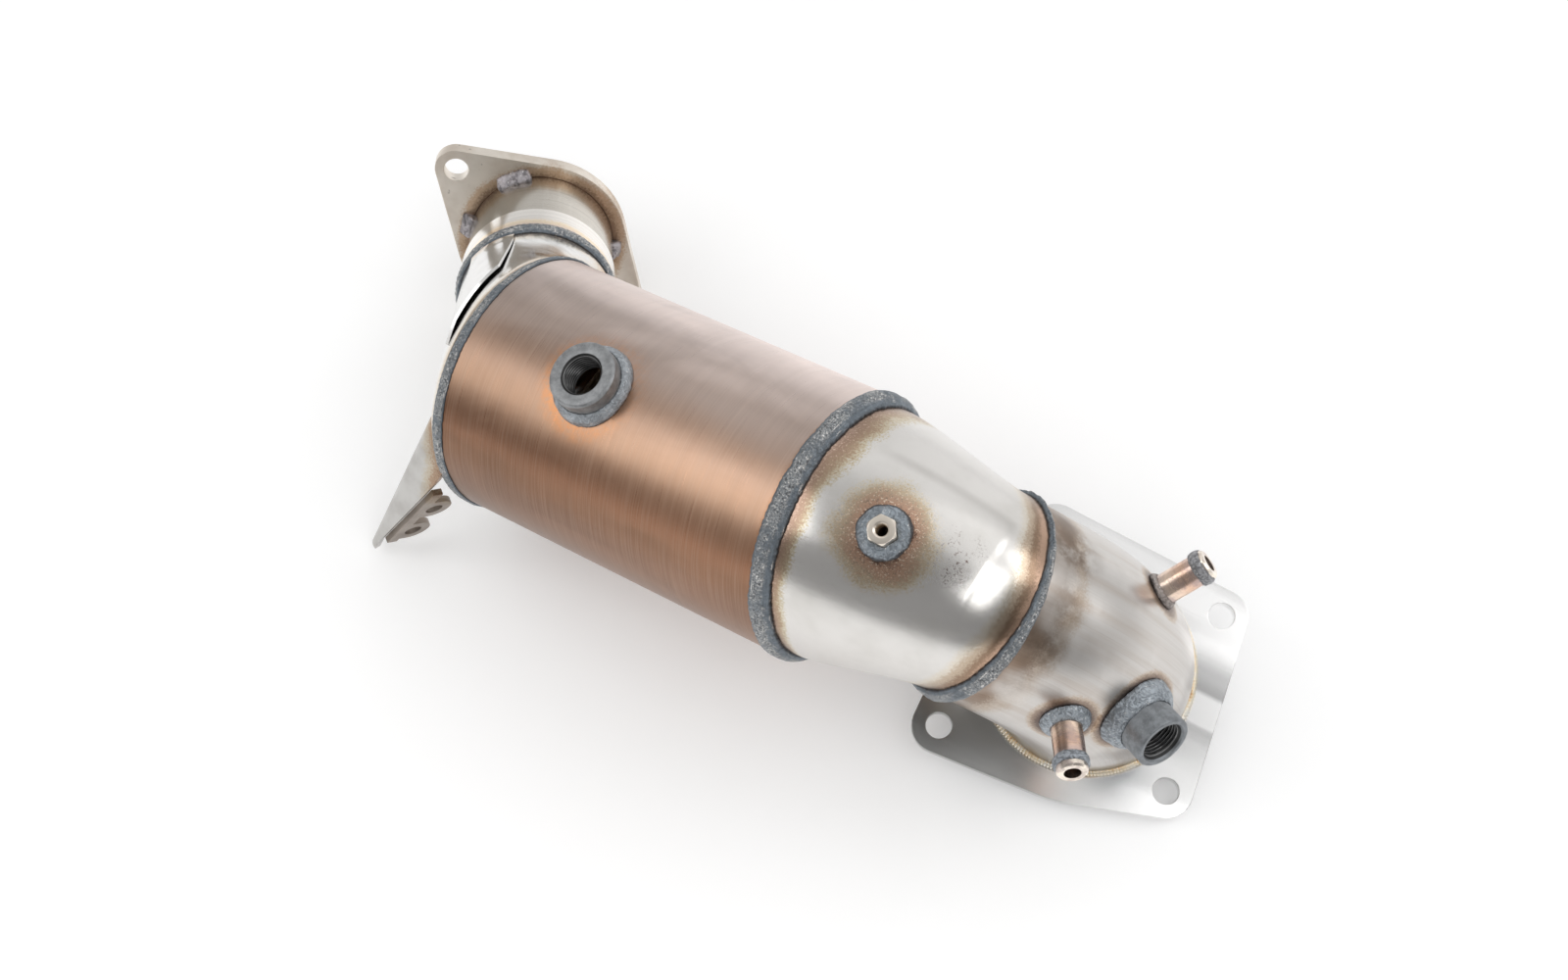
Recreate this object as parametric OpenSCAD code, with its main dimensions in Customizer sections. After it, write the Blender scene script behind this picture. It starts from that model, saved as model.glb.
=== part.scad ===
// Downpipe with catalytic converter. Millimetres.
// Frame: origin at the centre of the inlet flange's mating face, +Z up the pipe, pipe bends towards -X.

/* [Inlet flange] */
// Thickness of the inlet plate
plate_t = 6; // [5:0.5:8]
// Radius of the disc around the pipe
plate_disc_r = 57.5; // [56:0.5:60]
// Corner lobe radius
lobe_r = 11.5; // [10.5:0.5:13]
// Bolt hole radius
bolt_r = 5.5; // [4.5:0.25:6]
// Direction of the long diagonal about +Z, degrees
diag_az = 43; // [38:1:48]
// Far hole on the long diagonal
hole_a = 67; // [66:0.5:70]
// Near hole on the long diagonal
hole_c = 60.8; // [59:0.2:63]
// Offset of the cross pair along the long diagonal
cross_x = 10.3; // [8:0.1:12]
// Half spacing of the cross pair
cross_y = 59.3; // [58.5:0.1:62]

/* [Elbow] */
// Pipe outer radius
pipe_r = 43.2; // [42.4:0.1:44]
// Pipe and shell wall
wall = 1.6; // [1.2:0.1:2]
// Straight start above the plate
start_l = 3; // [3:0.5:5]
// Bend radius of the centre line
bend_r = 57; // [55:0.5:62]
// Bend angle
bend_a = 59.2; // [55:0.2:63]
// Straight length up to the neck weld
neck_l = 28.5; // [27:0.5:34]

/* [Transition cone] */
// Length of the cone's path along the elbow
cone_l1 = 10.3; // [8:0.1:13]
// Length of the cone's path along the canister
cone_l2 = 56.4; // [52:0.2:62]
// Radius of the cone's wide end
cone_r = 54; // [53:0.25:54.5]
// Plain collar at each end of a shell
collar = 4.2; // [4.2:0.1:5]

/* [Canister] */
// Canister outer radius
can_r = 57.15; // [56:0.05:58.5]
// Canister length
can_l = 168; // [160:1:185]
// Direction of the canister about +Z, degrees
can_az = 172; // [169:0.5:175]
// Slope of the canister, degrees
can_el = -21.7; // [-24:0.1:-19]
// Catalyst length
brick_l = 76; // [70:1:80]
// Catalyst start behind the canister's inlet end
brick_z = 8; // [6:0.5:10]
// Mat thickness
mat_t = 3.6; // [3:0.2:5]
// Cell pitch
cell = 11; // [9.5:0.5:12.5]

/* [Sensor bosses] */
// Bore of the M18 x 1.5 bosses, minor radius
m18_r = 8.19; // [8:0.01:8.4]
// Canister boss radius
lambda_r = 14.5; // [13.5:0.25:15]
// Canister boss height
lambda_h = 11; // [9:0.5:12]
// Canister boss distance from the inlet end
lambda_z = 102; // [96:1:108]
// Elbow boss radius
eboss_r = 12; // [11.5:0.25:12.5]
// Elbow boss height
eboss_h = 17; // [15:0.5:19]
// Hexagon across flats
hex_af = 11; // [10:0.5:12]
// M6 bore radius
m6_r = 2.5; // [2.4:0.05:2.6]
// Hexagon height over the shell
hex_h = 7; // [6:0.5:8]

/* [Stubs] */
// Stub tube outer radius
stub_r = 6.35; // [6:0.05:6.5]
// Stub tube bore radius
stub_bore = 3.5; // [3:0.1:4]
// Front stub length
front_l = 24; // [22:0.5:28]
// Side stub length
side_l = 22.5; // [20:0.5:26]

/* [Outlet] */
// Distance of the outlet weld from the canister end, along its axis
out_z = 33.8; // [33:0.1:37]
// Sideways offset of the outlet weld
out_y = 40.9; // [39.5:0.1:42]
// Upward offset of the outlet weld
out_x = -15.5; // [-17:0.1:-14]
// Outlet direction about +Z, degrees
out_az = 115.8; // [113:0.2:118]
// Outlet slope, degrees
out_el = -42; // [-44:0.2:-40]
// Outlet pipe outer radius
out_r = 33.2; // [32.6:0.1:34]
// Sleeve thickness over the pipe
sleeve_t = 1.8; // [1.5:0.1:2.2]
// Sleeve length
sleeve_l = 19; // [16:0.5:22]
// Weld to flange face
out_l = 51; // [47:0.5:56]
// Outlet flange thickness
oflange_t = 7; // [6:0.5:8]
// Half spacing of the outlet bolts
oflange_s = 52.8; // [52:0.1:54]
// Radius of the outlet flange around the pipe
oflange_r = 39.5; // [38.5:0.25:41]
// Outlet flange lobe radius
olobe_r = 9.8; // [9:0.1:11]
// Angle of the outlet bolt line
out_clock = -9; // [-14:1:-4]

/* [Bracket] */
// Bracket sheet thickness
sheet = 3; // [2.5:0.25:3.5]
// Angle of the bracket round the canister
br_clock = -53; // [-56:1:-50]
// Depth of the bracket sheet inside the canister's outside
br_in = 3.65; // [2.2:0.05:4.2]
// Reach of the bracket past the canister end
br_z = 51.7; // [46:0.5:56]
// Reach of the bracket to the side
br_y = 77.7; // [72:0.5:82]
// Ear hole radius
ear_r = 3.8; // [3.4:0.1:4.2]
// Ear hole spacing
ear_pitch = 23; // [21.5:0.5:24.5]
// Ear radius round its hole
ear_w = 8; // [7:0.25:8.5]
// Ear hole distance from the fold
ear_out = 8.5; // [8:0.25:10]
// First ear hole along the fold
ear_at = 27; // [24:0.5:29]

/* [Hidden] */
$fn = 180;
eps = 0.02;
// facets round a lofted shell, and steps along it
segs = 48;
rows = 8;
// how far cutters reach past a wall
bite = 12;
// how much wider a shell's hole is than the thread or bore above it
m18_free = 1.2;
stub_free = 1.4;
m6_free = 0.8;
pipe_i = pipe_r - wall;
can_i = can_r - wall;
bend_z = plate_t + start_l;
neck_r = pipe_r;
cap_r = out_r + 1.3;
sleeve_r = out_r + sleeve_t;
brick_r = can_i - mat_t;
br_r = can_r - br_in;

function unit(v) = v / norm(v);
function heading(az, el) = [cos(el) * cos(az), cos(el) * sin(az), sin(el)];
function basis(o, x, z) = let (y = cross(z, x))
    [[x[0], y[0], z[0], o[0]], [x[1], y[1], z[1], o[1]], [x[2], y[2], z[2], o[2]], [0, 0, 0, 1]];
function upright(z) = unit([0, 0, 1] - z * z[2]);
function carry(v, a, b) = v - (b * v) / (1 + a * b) * (a + b);
function ring(c, x, z, r) = let (y = cross(z, x))
    [for (i = [0:segs - 1]) c + r * cos(360 * i / segs) * x + r * sin(360 * i / segs) * y];

// centre line stations
elbow_o = [cos(bend_a), 0, sin(bend_a)];
neck_d = [-sin(bend_a), 0, cos(bend_a)];
bend_end = [-bend_r * (1 - cos(bend_a)), 0, bend_z + bend_r * sin(bend_a)];
neck_p = bend_end + neck_l * neck_d;
can_d = heading(can_az, can_el);
can_x = upright(can_d);
can_y = cross(can_d, can_x);
can_p = neck_p + cone_l1 * neck_d + cone_l2 * can_d;
can_e = can_p + can_l * can_d;
out_d = heading(out_az, out_el);
out_ref = carry(can_x, can_d, out_d);
out_p = can_e + out_x * can_x + out_y * can_y + out_z * can_d;
out_f = out_p + out_l * out_d;
out_bolt = cos(out_clock) * out_ref + sin(out_clock) * cross(out_d, out_ref);

// shells that join two rings: start, x, axis, radius, end, x, axis, radius, then how far each end runs straight
cone_ends = [neck_p + collar * neck_d, elbow_o, neck_d, neck_r,
             can_p - collar * can_d, can_x, can_d, cone_r, 0.35, 0.8, 0.35, 0.8];
cap_ends = [can_e + collar * can_d, can_x, can_d, can_r,
            out_p - collar * out_d, out_ref, out_d, cap_r, 0.1, 0.35, 0.35, 0.6];

function spoke(c, x, z, r, a) = c + r * cos(a) * x + r * sin(a) * cross(z, x);
function skin(e, a, s) = let (
        p = spoke(e[0], e[1], e[2], e[3], a), q = spoke(e[4], e[5], e[6], e[7], a), d = q - p,
        m = e[2] * max(e[8] * norm(d), d * e[2]) * e[9], n = e[6] * max(e[10] * norm(d), d * e[6]) * e[11])
    (2 * s * s * s - 3 * s * s + 1) * p + (s * s * s - 2 * s * s + s) * m
    + (3 * s * s - 2 * s * s * s) * q + (s * s * s - s * s) * n;
function skin_n(e, a, s) = unit(cross(
    skin(e, a + 2, s) - skin(e, a - 2, s),
    skin(e, a, min(1, s + 0.03)) - skin(e, a, max(0, s - 0.03))));
function outer_rows(e) = concat(
    [ring(e[0] - collar * e[2], e[1], e[2], e[3]), ring(e[0], e[1], e[2], e[3])],
    [for (k = [1:rows - 1]) [for (i = [0:segs - 1]) skin(e, 360 * i / segs, k / rows)]],
    [ring(e[4], e[5], e[6], e[7]), ring(e[4] + collar * e[6], e[5], e[6], e[7])]);
function inner_rows(e) = concat(
    [ring(e[4] + collar * e[6], e[5], e[6], e[7] - wall), ring(e[4], e[5], e[6], e[7] - wall)],
    [for (k = [rows - 1:-1:1]) [for (i = [0:segs - 1])
        skin(e, 360 * i / segs, k / rows) - wall * skin_n(e, 360 * i / segs, k / rows)]],
    [ring(e[0], e[1], e[2], e[3] - wall), ring(e[0] - collar * e[2], e[1], e[2], e[3] - wall)]);
function flat(list) = [for (a = list) for (b = a) b];
function quads(n, closed) = [for (k = [0:n - (closed ? 1 : 2)]) for (i = [0:segs - 1]) for (h = [0, 1])
    let (a = k * segs + i, b = k * segs + (i + 1) % segs,
         c = ((k + 1) % n) * segs + (i + 1) % segs, d = ((k + 1) % n) * segs + i)
    h == 0 ? [a, c, b] : [a, d, c]];

module joined_shell(e) {
    r = concat(outer_rows(e), inner_rows(e));
    polyhedron(points = flat(r), faces = quads(len(r), true));
}
module joined_solid(e) {
    r = outer_rows(e);
    polyhedron(points = flat(r), faces = concat(quads(len(r), false),
        [[for (i = [0:segs - 1]) i], [for (i = [segs - 1:-1:0]) (len(r) - 1) * segs + i]]));
}

// places
module at_neck() multmatrix(basis(neck_p, elbow_o, neck_d)) children();
module at_can(z = 0, clock = 0) multmatrix(basis(can_p, can_x, can_d)) translate([0, 0, z]) rotate([0, 0, clock]) children();
module at_out() multmatrix(basis(out_p, out_bolt, out_d)) children();
module at_elbow(a, clock) {
    n = cos(clock) * [cos(a), 0, sin(a)] + sin(clock) * [0, 1, 0];
    c = [-bend_r * (1 - cos(a)), 0, bend_z + bend_r * sin(a)];
    multmatrix(basis(c + pipe_r * n, [-sin(a), 0, cos(a)], n)) children();
}
hex_a = -6;
hex_s = 0.62;
module at_hex() {
    n = skin_n(cone_ends, hex_a, hex_s);
    multmatrix(basis(skin(cone_ends, hex_a, hex_s), unit(cross(n, can_d)), n)) children();
}
module tube(r, t, h) difference() {
    cylinder(h = h, r = r);
    translate([0, 0, -1]) cylinder(h = h + 2, r = r - t);
}
module at_bend() translate([-bend_r, 0, bend_z]) rotate([90, 0, 0]) rotate_extrude(angle = bend_a)
    translate([bend_r, 0]) children();
// the whole pipe run as a solid, to shape what sits on it
module pipe_solid() {
    translate([0, 0, plate_t]) cylinder(h = start_l, r = pipe_r);
    at_bend() circle(pipe_r);
    multmatrix(basis(bend_end, elbow_o, neck_d)) cylinder(h = neck_l, r = pipe_r);
}
// weld bead round a pipe: half width w, height h, radii below and above the joint
module bead(r0, r1, w, h) rotate_extrude() polygon([
    [r0, -w], [r0 + 0.55 * h, -0.8 * w], [max(r0, r1) + 0.95 * h, -0.3 * w], [max(r0, r1) + h, 0],
    [max(r0, r1) + 0.95 * h, 0.3 * w], [r1 + 0.55 * h, 0.8 * w], [r1, w], [r1, 0], [r0, 0]]);
// fillet round a boss: inner radius, spread of its foot, height, depth under the surface
module fillet_ring(r, spread, h, d) rotate_extrude() polygon([
    [r, -d], [r + spread, -d], [r + spread, -0.4 * d], [r + 0.82 * spread, 0.28 * h],
    [r + 0.45 * spread, 0.7 * h], [r + 0.2, h], [r, h]]);
// round bar with a broken outer edge: radius, height over the surface, edge, depth of its bed
module bar(r, h, edge, bed) {
    translate([0, 0, -bed]) cylinder(h = h + bed - edge, r = r);
    translate([0, 0, h - edge]) cylinder(h = edge, r1 = r, r2 = r - edge);
}
// bore that opens out at its foot, where it meets a wider hole in the shell
module footed_bore(r, h, free, bed) {
    translate([0, 0, -bed - 1]) cylinder(h = h + bed + 2, r = r);
    translate([0, 0, -bed - 1]) cylinder(h = bed + 1 - free / 2, r = r + free);
    translate([0, 0, -free / 2]) cylinder(h = free, r1 = r + free, r2 = r);
}
// threaded boss: radius, height over the crown, broken edge, depth of its bed
module boss(r, h, edge, bed) difference() {
    bar(r, h, edge, bed);
    footed_bore(m18_r, h, m18_free, bed);
    translate([0, 0, h - 1]) cylinder(h = 1 + eps, r1 = m18_r, r2 = m18_r + 1);
}

// inlet flange
diag_u = [cos(diag_az), sin(diag_az)];
diag_v = [-sin(diag_az), cos(diag_az)];
hole_xy = [-hole_a * diag_u, cross_x * diag_u - cross_y * diag_v, hole_c * diag_u, cross_x * diag_u + cross_y * diag_v];

module inlet_flange() color([0.74, 0.73, 0.71]) difference() {
    linear_extrude(plate_t) hull() {
        circle(plate_disc_r, $fn = 96);
        for (p = hole_xy) translate(p) circle(lobe_r, $fn = 32);
    }
    translate([0, 0, -1]) cylinder(h = plate_t + 2, r = pipe_i);
    for (p = hole_xy) translate([p[0], p[1], -1]) cylinder(h = plate_t + 2, r = bolt_r);
}
module inlet_weld() color([0.72, 0.62, 0.42]) translate([0, 0, plate_t]) rotate_extrude() polygon([
    [pipe_r, 0], [pipe_r + 2.6, 0], [pipe_r + 2.5, 0.7], [pipe_r + 1.9, 1.7], [pipe_r + 0.8, 2.5], [pipe_r, 2.7]]);

// elbow
eboss_a = 32.5;
eboss_c = -28;
front_a = 49;
front_c = -54;
side_a = 35.5;
side_c = 44;
module inlet_start() color([0.66, 0.62, 0.58]) translate([0, 0, plate_t]) tube(pipe_r, wall, start_l);
module inlet_elbow() color([0.66, 0.62, 0.58]) difference() {
    at_bend() difference() {
        circle(pipe_r);
        circle(pipe_i);
    }
    at_elbow(eboss_a, eboss_c) translate([0, 0, -bite]) cylinder(h = 2 * bite, r = m18_r + m18_free);
    at_elbow(front_a, front_c) translate([0, 0, -bite]) cylinder(h = 2 * bite, r = stub_bore + stub_free);
    at_elbow(side_a, side_c) translate([0, 0, -bite]) cylinder(h = 2 * bite, r = stub_bore + stub_free);
}
module neck_run() color([0.66, 0.62, 0.58]) multmatrix(basis(bend_end, elbow_o, neck_d)) tube(pipe_r, wall, neck_l);
module elbow_boss() color([0.42, 0.42, 0.43]) difference() {
    at_elbow(eboss_a, eboss_c) boss(eboss_r, eboss_h, edge = 0.6, bed = 4);
    pipe_solid();
}
module elbow_boss_weld() color([0.3, 0.33, 0.37]) difference() {
    at_elbow(eboss_a, eboss_c) fillet_ring(eboss_r, spread = 4.6, h = 6, d = 5);
    pipe_solid();
}
// stub tube: where on the elbow, length, broken edge, depth of its bed
module stub(a, clock, l, edge = 0.8, bed = 2) difference() {
    at_elbow(a, clock) difference() {
        bar(stub_r, l, edge, bed);
        footed_bore(stub_bore, l, stub_free, bed);
    }
    pipe_solid();
}
module stub_weld(a, clock, spread, h) difference() {
    at_elbow(a, clock) fillet_ring(stub_r, spread, h, d = 3);
    pipe_solid();
}
module stub_collar(a, clock, l, w) at_elbow(a, clock) translate([0, 0, l]) rotate_extrude() polygon([
    [stub_r, 0], [stub_r + 0.7, 0.4], [stub_r + 1, w * 0.4], [stub_r + 0.9, w * 0.8], [stub_r, w]]);
module front_stub() color([0.6, 0.47, 0.42]) stub(front_a, front_c, front_l);
module front_stub_weld() color([0.3, 0.33, 0.37]) stub_weld(front_a, front_c, spread = 4.2, h = 3.6);
module front_stub_collar() color([0.33, 0.35, 0.38]) stub_collar(front_a, front_c, front_l - 7, w = 4.6);
module side_stub() color([0.6, 0.45, 0.38]) stub(side_a, side_c, side_l);
module side_stub_weld() color([0.36, 0.33, 0.32]) stub_weld(side_a, side_c, spread = 1.8, h = 2.2);
module side_stub_collar() color([0.33, 0.35, 0.38]) stub_collar(side_a, side_c, side_l - 6.2, w = 5);

// neck and cone
module neck_weld() color([0.33, 0.36, 0.4]) at_neck() bead(pipe_r, neck_r, w = 3, h = 2.8);
module transition_cone() color([0.78, 0.75, 0.71]) difference() {
    joined_shell(cone_ends);
    at_hex() translate([0, 0, -bite / 2]) cylinder(h = bite, r = m6_r + m6_free);
}
hex_r = hex_af / sqrt(3);
hex_bed = 2;
hex_edge = 0.6;
hex_turn = 30;
module hex_boss() color([0.5, 0.47, 0.43]) difference() {
    at_hex() translate([0, 0, -hex_bed]) difference() {
        rotate([0, 0, hex_turn]) {
            cylinder(h = hex_h + hex_bed - hex_edge, r = hex_r, $fn = 6);
            translate([0, 0, hex_h + hex_bed - hex_edge])
                cylinder(h = hex_edge, r1 = hex_r, r2 = hex_r - 0.8, $fn = 6);
        }
        translate([0, 0, hex_bed]) footed_bore(m6_r, hex_h, m6_free, hex_bed);
    }
    joined_solid(cone_ends);
}
module hex_boss_weld() color([0.3, 0.33, 0.37]) difference() {
    at_hex() difference() {
        rotate_extrude() polygon([[0, -1.5], [11.4, -1.5], [11, 0.4], [9.4, 1.9], [7.2, 3], [0, 3.4]]);
        translate([0, 0, -hex_bed]) rotate([0, 0, hex_turn]) cylinder(h = hex_h, r = hex_r, $fn = 6);
    }
    joined_solid(cone_ends);
}
module cone_weld() color([0.33, 0.36, 0.4]) at_can() bead(cone_r, can_r, w = 4, h = 2.5);

// canister
module canister_shell() color([0.55, 0.38, 0.28]) difference() {
    at_can() tube(can_r, wall, can_l);
    at_lambda() translate([0, 0, -bite]) cylinder(h = 2 * bite, r = m18_r + m18_free);
}
module at_lambda() at_can(lambda_z, -1.5) translate([can_r, 0, 0]) rotate([0, 90, 0]) children();
module lambda_boss() color([0.4, 0.4, 0.41]) difference() {
    at_lambda() boss(lambda_r, lambda_h, edge = 1, bed = 3);
    at_can(-bite) cylinder(h = can_l + 2 * bite, r = can_r);
}
module lambda_boss_weld() color([0.3, 0.33, 0.37]) difference() {
    at_lambda() fillet_ring(lambda_r, spread = 3.4, h = 4.4, d = 4);
    at_can(-bite) cylinder(h = can_l + 2 * bite, r = can_r);
}
module support_mat() color([0.85, 0.83, 0.78]) at_can(brick_z) tube(can_i, mat_t, brick_l);
// honeycomb: square cells that keep clear of the rim
cell_wall = 2;
cell_rim = 0.6;
module catalyst_brick() color([0.5, 0.47, 0.42]) at_can(brick_z) difference() {
    cylinder(h = brick_l, r = brick_r);
    n = floor(brick_r / cell);
    for (i = [-n:n]) for (j = [-n:n])
        if (norm([abs(i) + 0.5, abs(j) + 0.5]) * cell < brick_r - cell_rim)
            translate([i * cell, j * cell, brick_l / 2])
                cube([cell - cell_wall, cell - cell_wall, brick_l + 2], center = true);
}

// end cap and outlet
module end_cap_weld() color([0.36, 0.38, 0.4]) at_can(can_l) bead(can_r, can_r, w = 2.4, h = 1.4);
module end_cap() color([0.8, 0.78, 0.75]) joined_shell(cap_ends);
module outlet_weld() color([0.33, 0.36, 0.4]) at_out() bead(cap_r, sleeve_r, w = 3, h = 1.9);
module outlet_sleeve() color([0.72, 0.66, 0.58]) at_out() rotate_extrude() polygon([
    [out_r, 0], [sleeve_r, 0], [sleeve_r, sleeve_l - 1.2], [sleeve_r - 0.8, sleeve_l - 0.2], [out_r, sleeve_l]]);
module outlet_pipe() color([0.7, 0.67, 0.62]) at_out() tube(out_r, wall, out_l + oflange_t - 1);
module outlet_flange() color([0.72, 0.67, 0.6]) at_out() translate([0, 0, out_l]) difference() {
    linear_extrude(oflange_t) hull() {
        circle(oflange_r, $fn = 96);
        for (k = [-1, 1]) translate([k * oflange_s, 0]) circle(olobe_r, $fn = 32);
    }
    translate([0, 0, -1]) cylinder(h = oflange_t + 2, r = out_r);
    for (k = [-1, 1]) translate([k * oflange_s, 0, -1]) cylinder(h = oflange_t + 2, r = bolt_r);
}
// tacks between pipe and flange: angle, length, width, height
tacks = [[26, 15, 4.2, 3.6], [-30, 9, 4.4, 4], [143, 7, 3.6, 3.4], [-120, 11, 4, 3.6]];
module tack(a, l, w, h) rotate([0, 0, a]) intersection() {
    translate([0, 0, out_l - h]) difference() {
        cylinder(h = h, r1 = out_r + 0.6, r2 = out_r + w);
        translate([0, 0, -1]) cylinder(h = h + 2, r = out_r);
    }
    translate([out_r - 2, -l / 2, out_l - h - 1]) cube([w + 6, l, h + 1]);
}
module outlet_tacks() color([0.45, 0.4, 0.37]) at_out() for (t = tacks) tack(t[0], t[1], t[2], t[3]);

// sheet left standing off the end cap, with an open slit along its lower edge
strap_t = 1.2;
strap_gap = 1.4;
strap_seat = 0.25;
// columns of the cap that it covers, and its stations along the cap, the first one slanted
strap_c = [for (i = [-2:3]) i];
strap_s = [0.24, 0.5, 0.625, 0.75, 0.875, 1];
strap_slant = 0.045;
function lifted(i, j, up) = let (a = 360 * i / segs, s = strap_s[j] + (j == 0 ? strap_slant * (i + 1) : 0))
    skin(cap_ends, a, s) + skin_n(cap_ends, a, s) * ((j == 5 ? 0 : strap_seat + strap_gap * (1 - s)) + up);
module cap_strap() color([0.86, 0.85, 0.83]) {
    n = len(strap_c);
    m = n * 6;
    polyhedron(points = concat(
        [for (j = [0:5]) for (i = strap_c) lifted(i, j, 0)],
        [for (j = [0:5]) for (i = strap_c) lifted(i, j, strap_t)]), faces = concat(
        [for (j = [0:4]) for (i = [0:n - 2]) let (a = j * n + i) each [[a, a + 1, a + n], [a + 1, a + n + 1, a + n]]],
        [for (j = [0:4]) for (i = [0:n - 2]) let (a = m + j * n + i) each [[a, a + n, a + 1], [a + 1, a + n, a + n + 1]]],
        [for (i = [0:n - 2]) each [[i, m + i, i + 1], [i + 1, m + i, m + i + 1]]],
        [for (i = [0:n - 2]) let (a = 5 * n + i) each [[a, a + 1, m + a], [a + 1, m + a + 1, m + a]]],
        [for (j = [0:4]) let (a = j * n) each [[a, a + n, m + a], [a + n, m + a + n, m + a]]],
        [for (j = [0:4]) let (a = j * n + n - 1) each [[a, m + a, a + n], [a + n, m + a, m + a + n]]]));
}

// bracket: flat sheet along the canister, its long edge rolled back, with two ears along the short edge
br_foot = collar - 1.6;
br_half = 22;
br_top = [br_half, br_foot];
br_tip = [-br_y, br_z];
br_low = [-19.4 - 0.08 * br_y, br_foot + 4];
br_heel = br_tip + [4.2, -8];
br_e = unit(br_tip - br_top);
br_o = [br_e[1], -br_e[0]];
roll = 5;
lip = 6;
module at_bracket() at_can(can_l, br_clock) translate([br_r, 0, 0]) children();
module cap_body() {
    joined_solid(cap_ends);
    at_can(can_l - 1) cylinder(h = 3.4, r = can_r + 1.4);
}
module bracket_plate() color([0.78, 0.76, 0.73]) difference() {
    at_bracket() intersection() {
        multmatrix(basis([0, br_top[0], br_top[1]], [0, br_o[0], br_o[1]], [0, br_e[0], br_e[1]]))
            linear_extrude(norm(br_tip - br_top)) {
            translate([-br_y, -sheet / 2]) square([br_y - roll + eps, sheet]);
            translate([-roll, roll - sheet / 2]) intersection() {
                difference() {
                    circle(roll);
                    circle(roll - sheet);
                }
                translate([0, -roll]) square([roll, roll + eps]);
            }
            translate([-sheet, roll - sheet / 2]) square([sheet, lip]);
        }
        multmatrix(basis([-sheet, 0, 0], [0, 1, 0], [1, 0, 0])) linear_extrude(2 * sheet + roll + lip) polygon([
            [br_half + roll, br_foot], br_top + roll * br_o, br_tip + roll * br_o, br_tip - roll * br_o,
            br_heel, br_low, [3 - br_half, br_foot]]);
    }
    cap_body();
}
leg_e = unit(br_heel - br_low);
leg_l = norm(br_heel - br_low);
leg_lean = 20;
leg_at = 10;
leg_w = 5;
module bracket_ears() color([0.6, 0.56, 0.5]) at_bracket()
    multmatrix(basis([-sheet / 2, br_low[0], br_low[1]], [0, leg_e[0], leg_e[1]],
        unit(cross([0, leg_e[0], leg_e[1]], [-cos(leg_lean), -sin(leg_lean) * leg_e[1], sin(leg_lean) * leg_e[0]]))))
    difference() {
        linear_extrude(sheet) {
            translate([leg_at, 0]) square([leg_l - leg_at, leg_w]);
            for (k = [0, 1]) hull() {
                translate([ear_at + k * ear_pitch, ear_out]) circle(ear_w, $fn = 48);
                translate([ear_at - ear_w + k * ear_pitch, 0]) square([2 * ear_w, 1]);
            }
        }
        for (k = [0, 1]) translate([ear_at + k * ear_pitch, ear_out, -1]) cylinder(h = sheet + 2, r = ear_r);
    }

inlet_flange();
inlet_weld();
inlet_start();
inlet_elbow();
neck_run();
elbow_boss();
elbow_boss_weld();
front_stub();
front_stub_weld();
front_stub_collar();
side_stub();
side_stub_weld();
side_stub_collar();
neck_weld();
transition_cone();
hex_boss();
hex_boss_weld();
cone_weld();
canister_shell();
lambda_boss();
lambda_boss_weld();
support_mat();
catalyst_brick();
end_cap_weld();
end_cap();
outlet_weld();
outlet_sleeve();
outlet_pipe();
outlet_flange();
outlet_tacks();
cap_strap();
bracket_plate();
bracket_ears();
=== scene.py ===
import bpy, bmesh, math
from mathutils import Matrix, Vector, noise


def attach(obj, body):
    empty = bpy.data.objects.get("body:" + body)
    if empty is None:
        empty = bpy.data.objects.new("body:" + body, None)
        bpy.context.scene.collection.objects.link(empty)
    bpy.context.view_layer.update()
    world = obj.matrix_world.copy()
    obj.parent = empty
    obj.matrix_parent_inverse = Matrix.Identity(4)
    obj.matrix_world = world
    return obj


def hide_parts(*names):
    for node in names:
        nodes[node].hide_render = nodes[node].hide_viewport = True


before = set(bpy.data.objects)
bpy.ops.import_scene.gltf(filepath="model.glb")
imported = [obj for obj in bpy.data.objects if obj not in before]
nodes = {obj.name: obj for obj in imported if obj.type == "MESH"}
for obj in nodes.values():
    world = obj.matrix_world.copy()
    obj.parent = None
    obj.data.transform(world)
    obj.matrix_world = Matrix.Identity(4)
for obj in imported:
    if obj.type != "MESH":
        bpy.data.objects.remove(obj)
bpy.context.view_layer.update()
mm = 0.001
print("frame loaded:", len(nodes), "nodes")

# where things are, in millimetres and degrees, as in the solids
pipe = {"plate": 6, "straight": 3, "bendRadius": 57, "bendAngle": 59.2, "neckLength": 28.5,
        "radius": 43.2, "wall": 1.6, "collar": 4.2}
can = {"pathA": 10.3, "pathB": 56.4, "coneRadius": 54, "radius": 57.15, "length": 168,
       "azimuth": 172, "slope": -21.7}
outlet = {"along": 33.8, "side": 40.9, "up": -15.5, "azimuth": 115.8, "slope": -42, "radius": 33.2,
          "capGap": 1.3, "clock": -9}
bosses = {"lambdaAlong": 102, "lambdaTurn": -1.5, "elbowBoss": (32.5, -28), "frontStub": (49, -54),
          "sideStub": (35.5, 44), "hexTurn": -6, "hexAlong": 0.62, "hexHole": 3.3}


def unit(v):
    return Vector(v).normalized()


def heading(azimuth, slope):
    a, e = math.radians(azimuth), math.radians(slope)
    return Vector((math.cos(e) * math.cos(a), math.cos(e) * math.sin(a), math.sin(e)))


def upright(z):
    return unit(Vector((0, 0, 1)) - z * z.z)


def carried(v, a, b):
    # turns v with the least turn that takes direction a to b
    return v - (b.dot(v)) / (1 + a.dot(b)) * (a + b)


def placed(origin, x, y, z):
    return Matrix([(*row, at) for row, at in zip(zip(x, y, z), origin)] + [(0, 0, 0, 1)])


def axes(origin, x, z):
    return placed(origin, x, z.cross(x), z)


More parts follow.
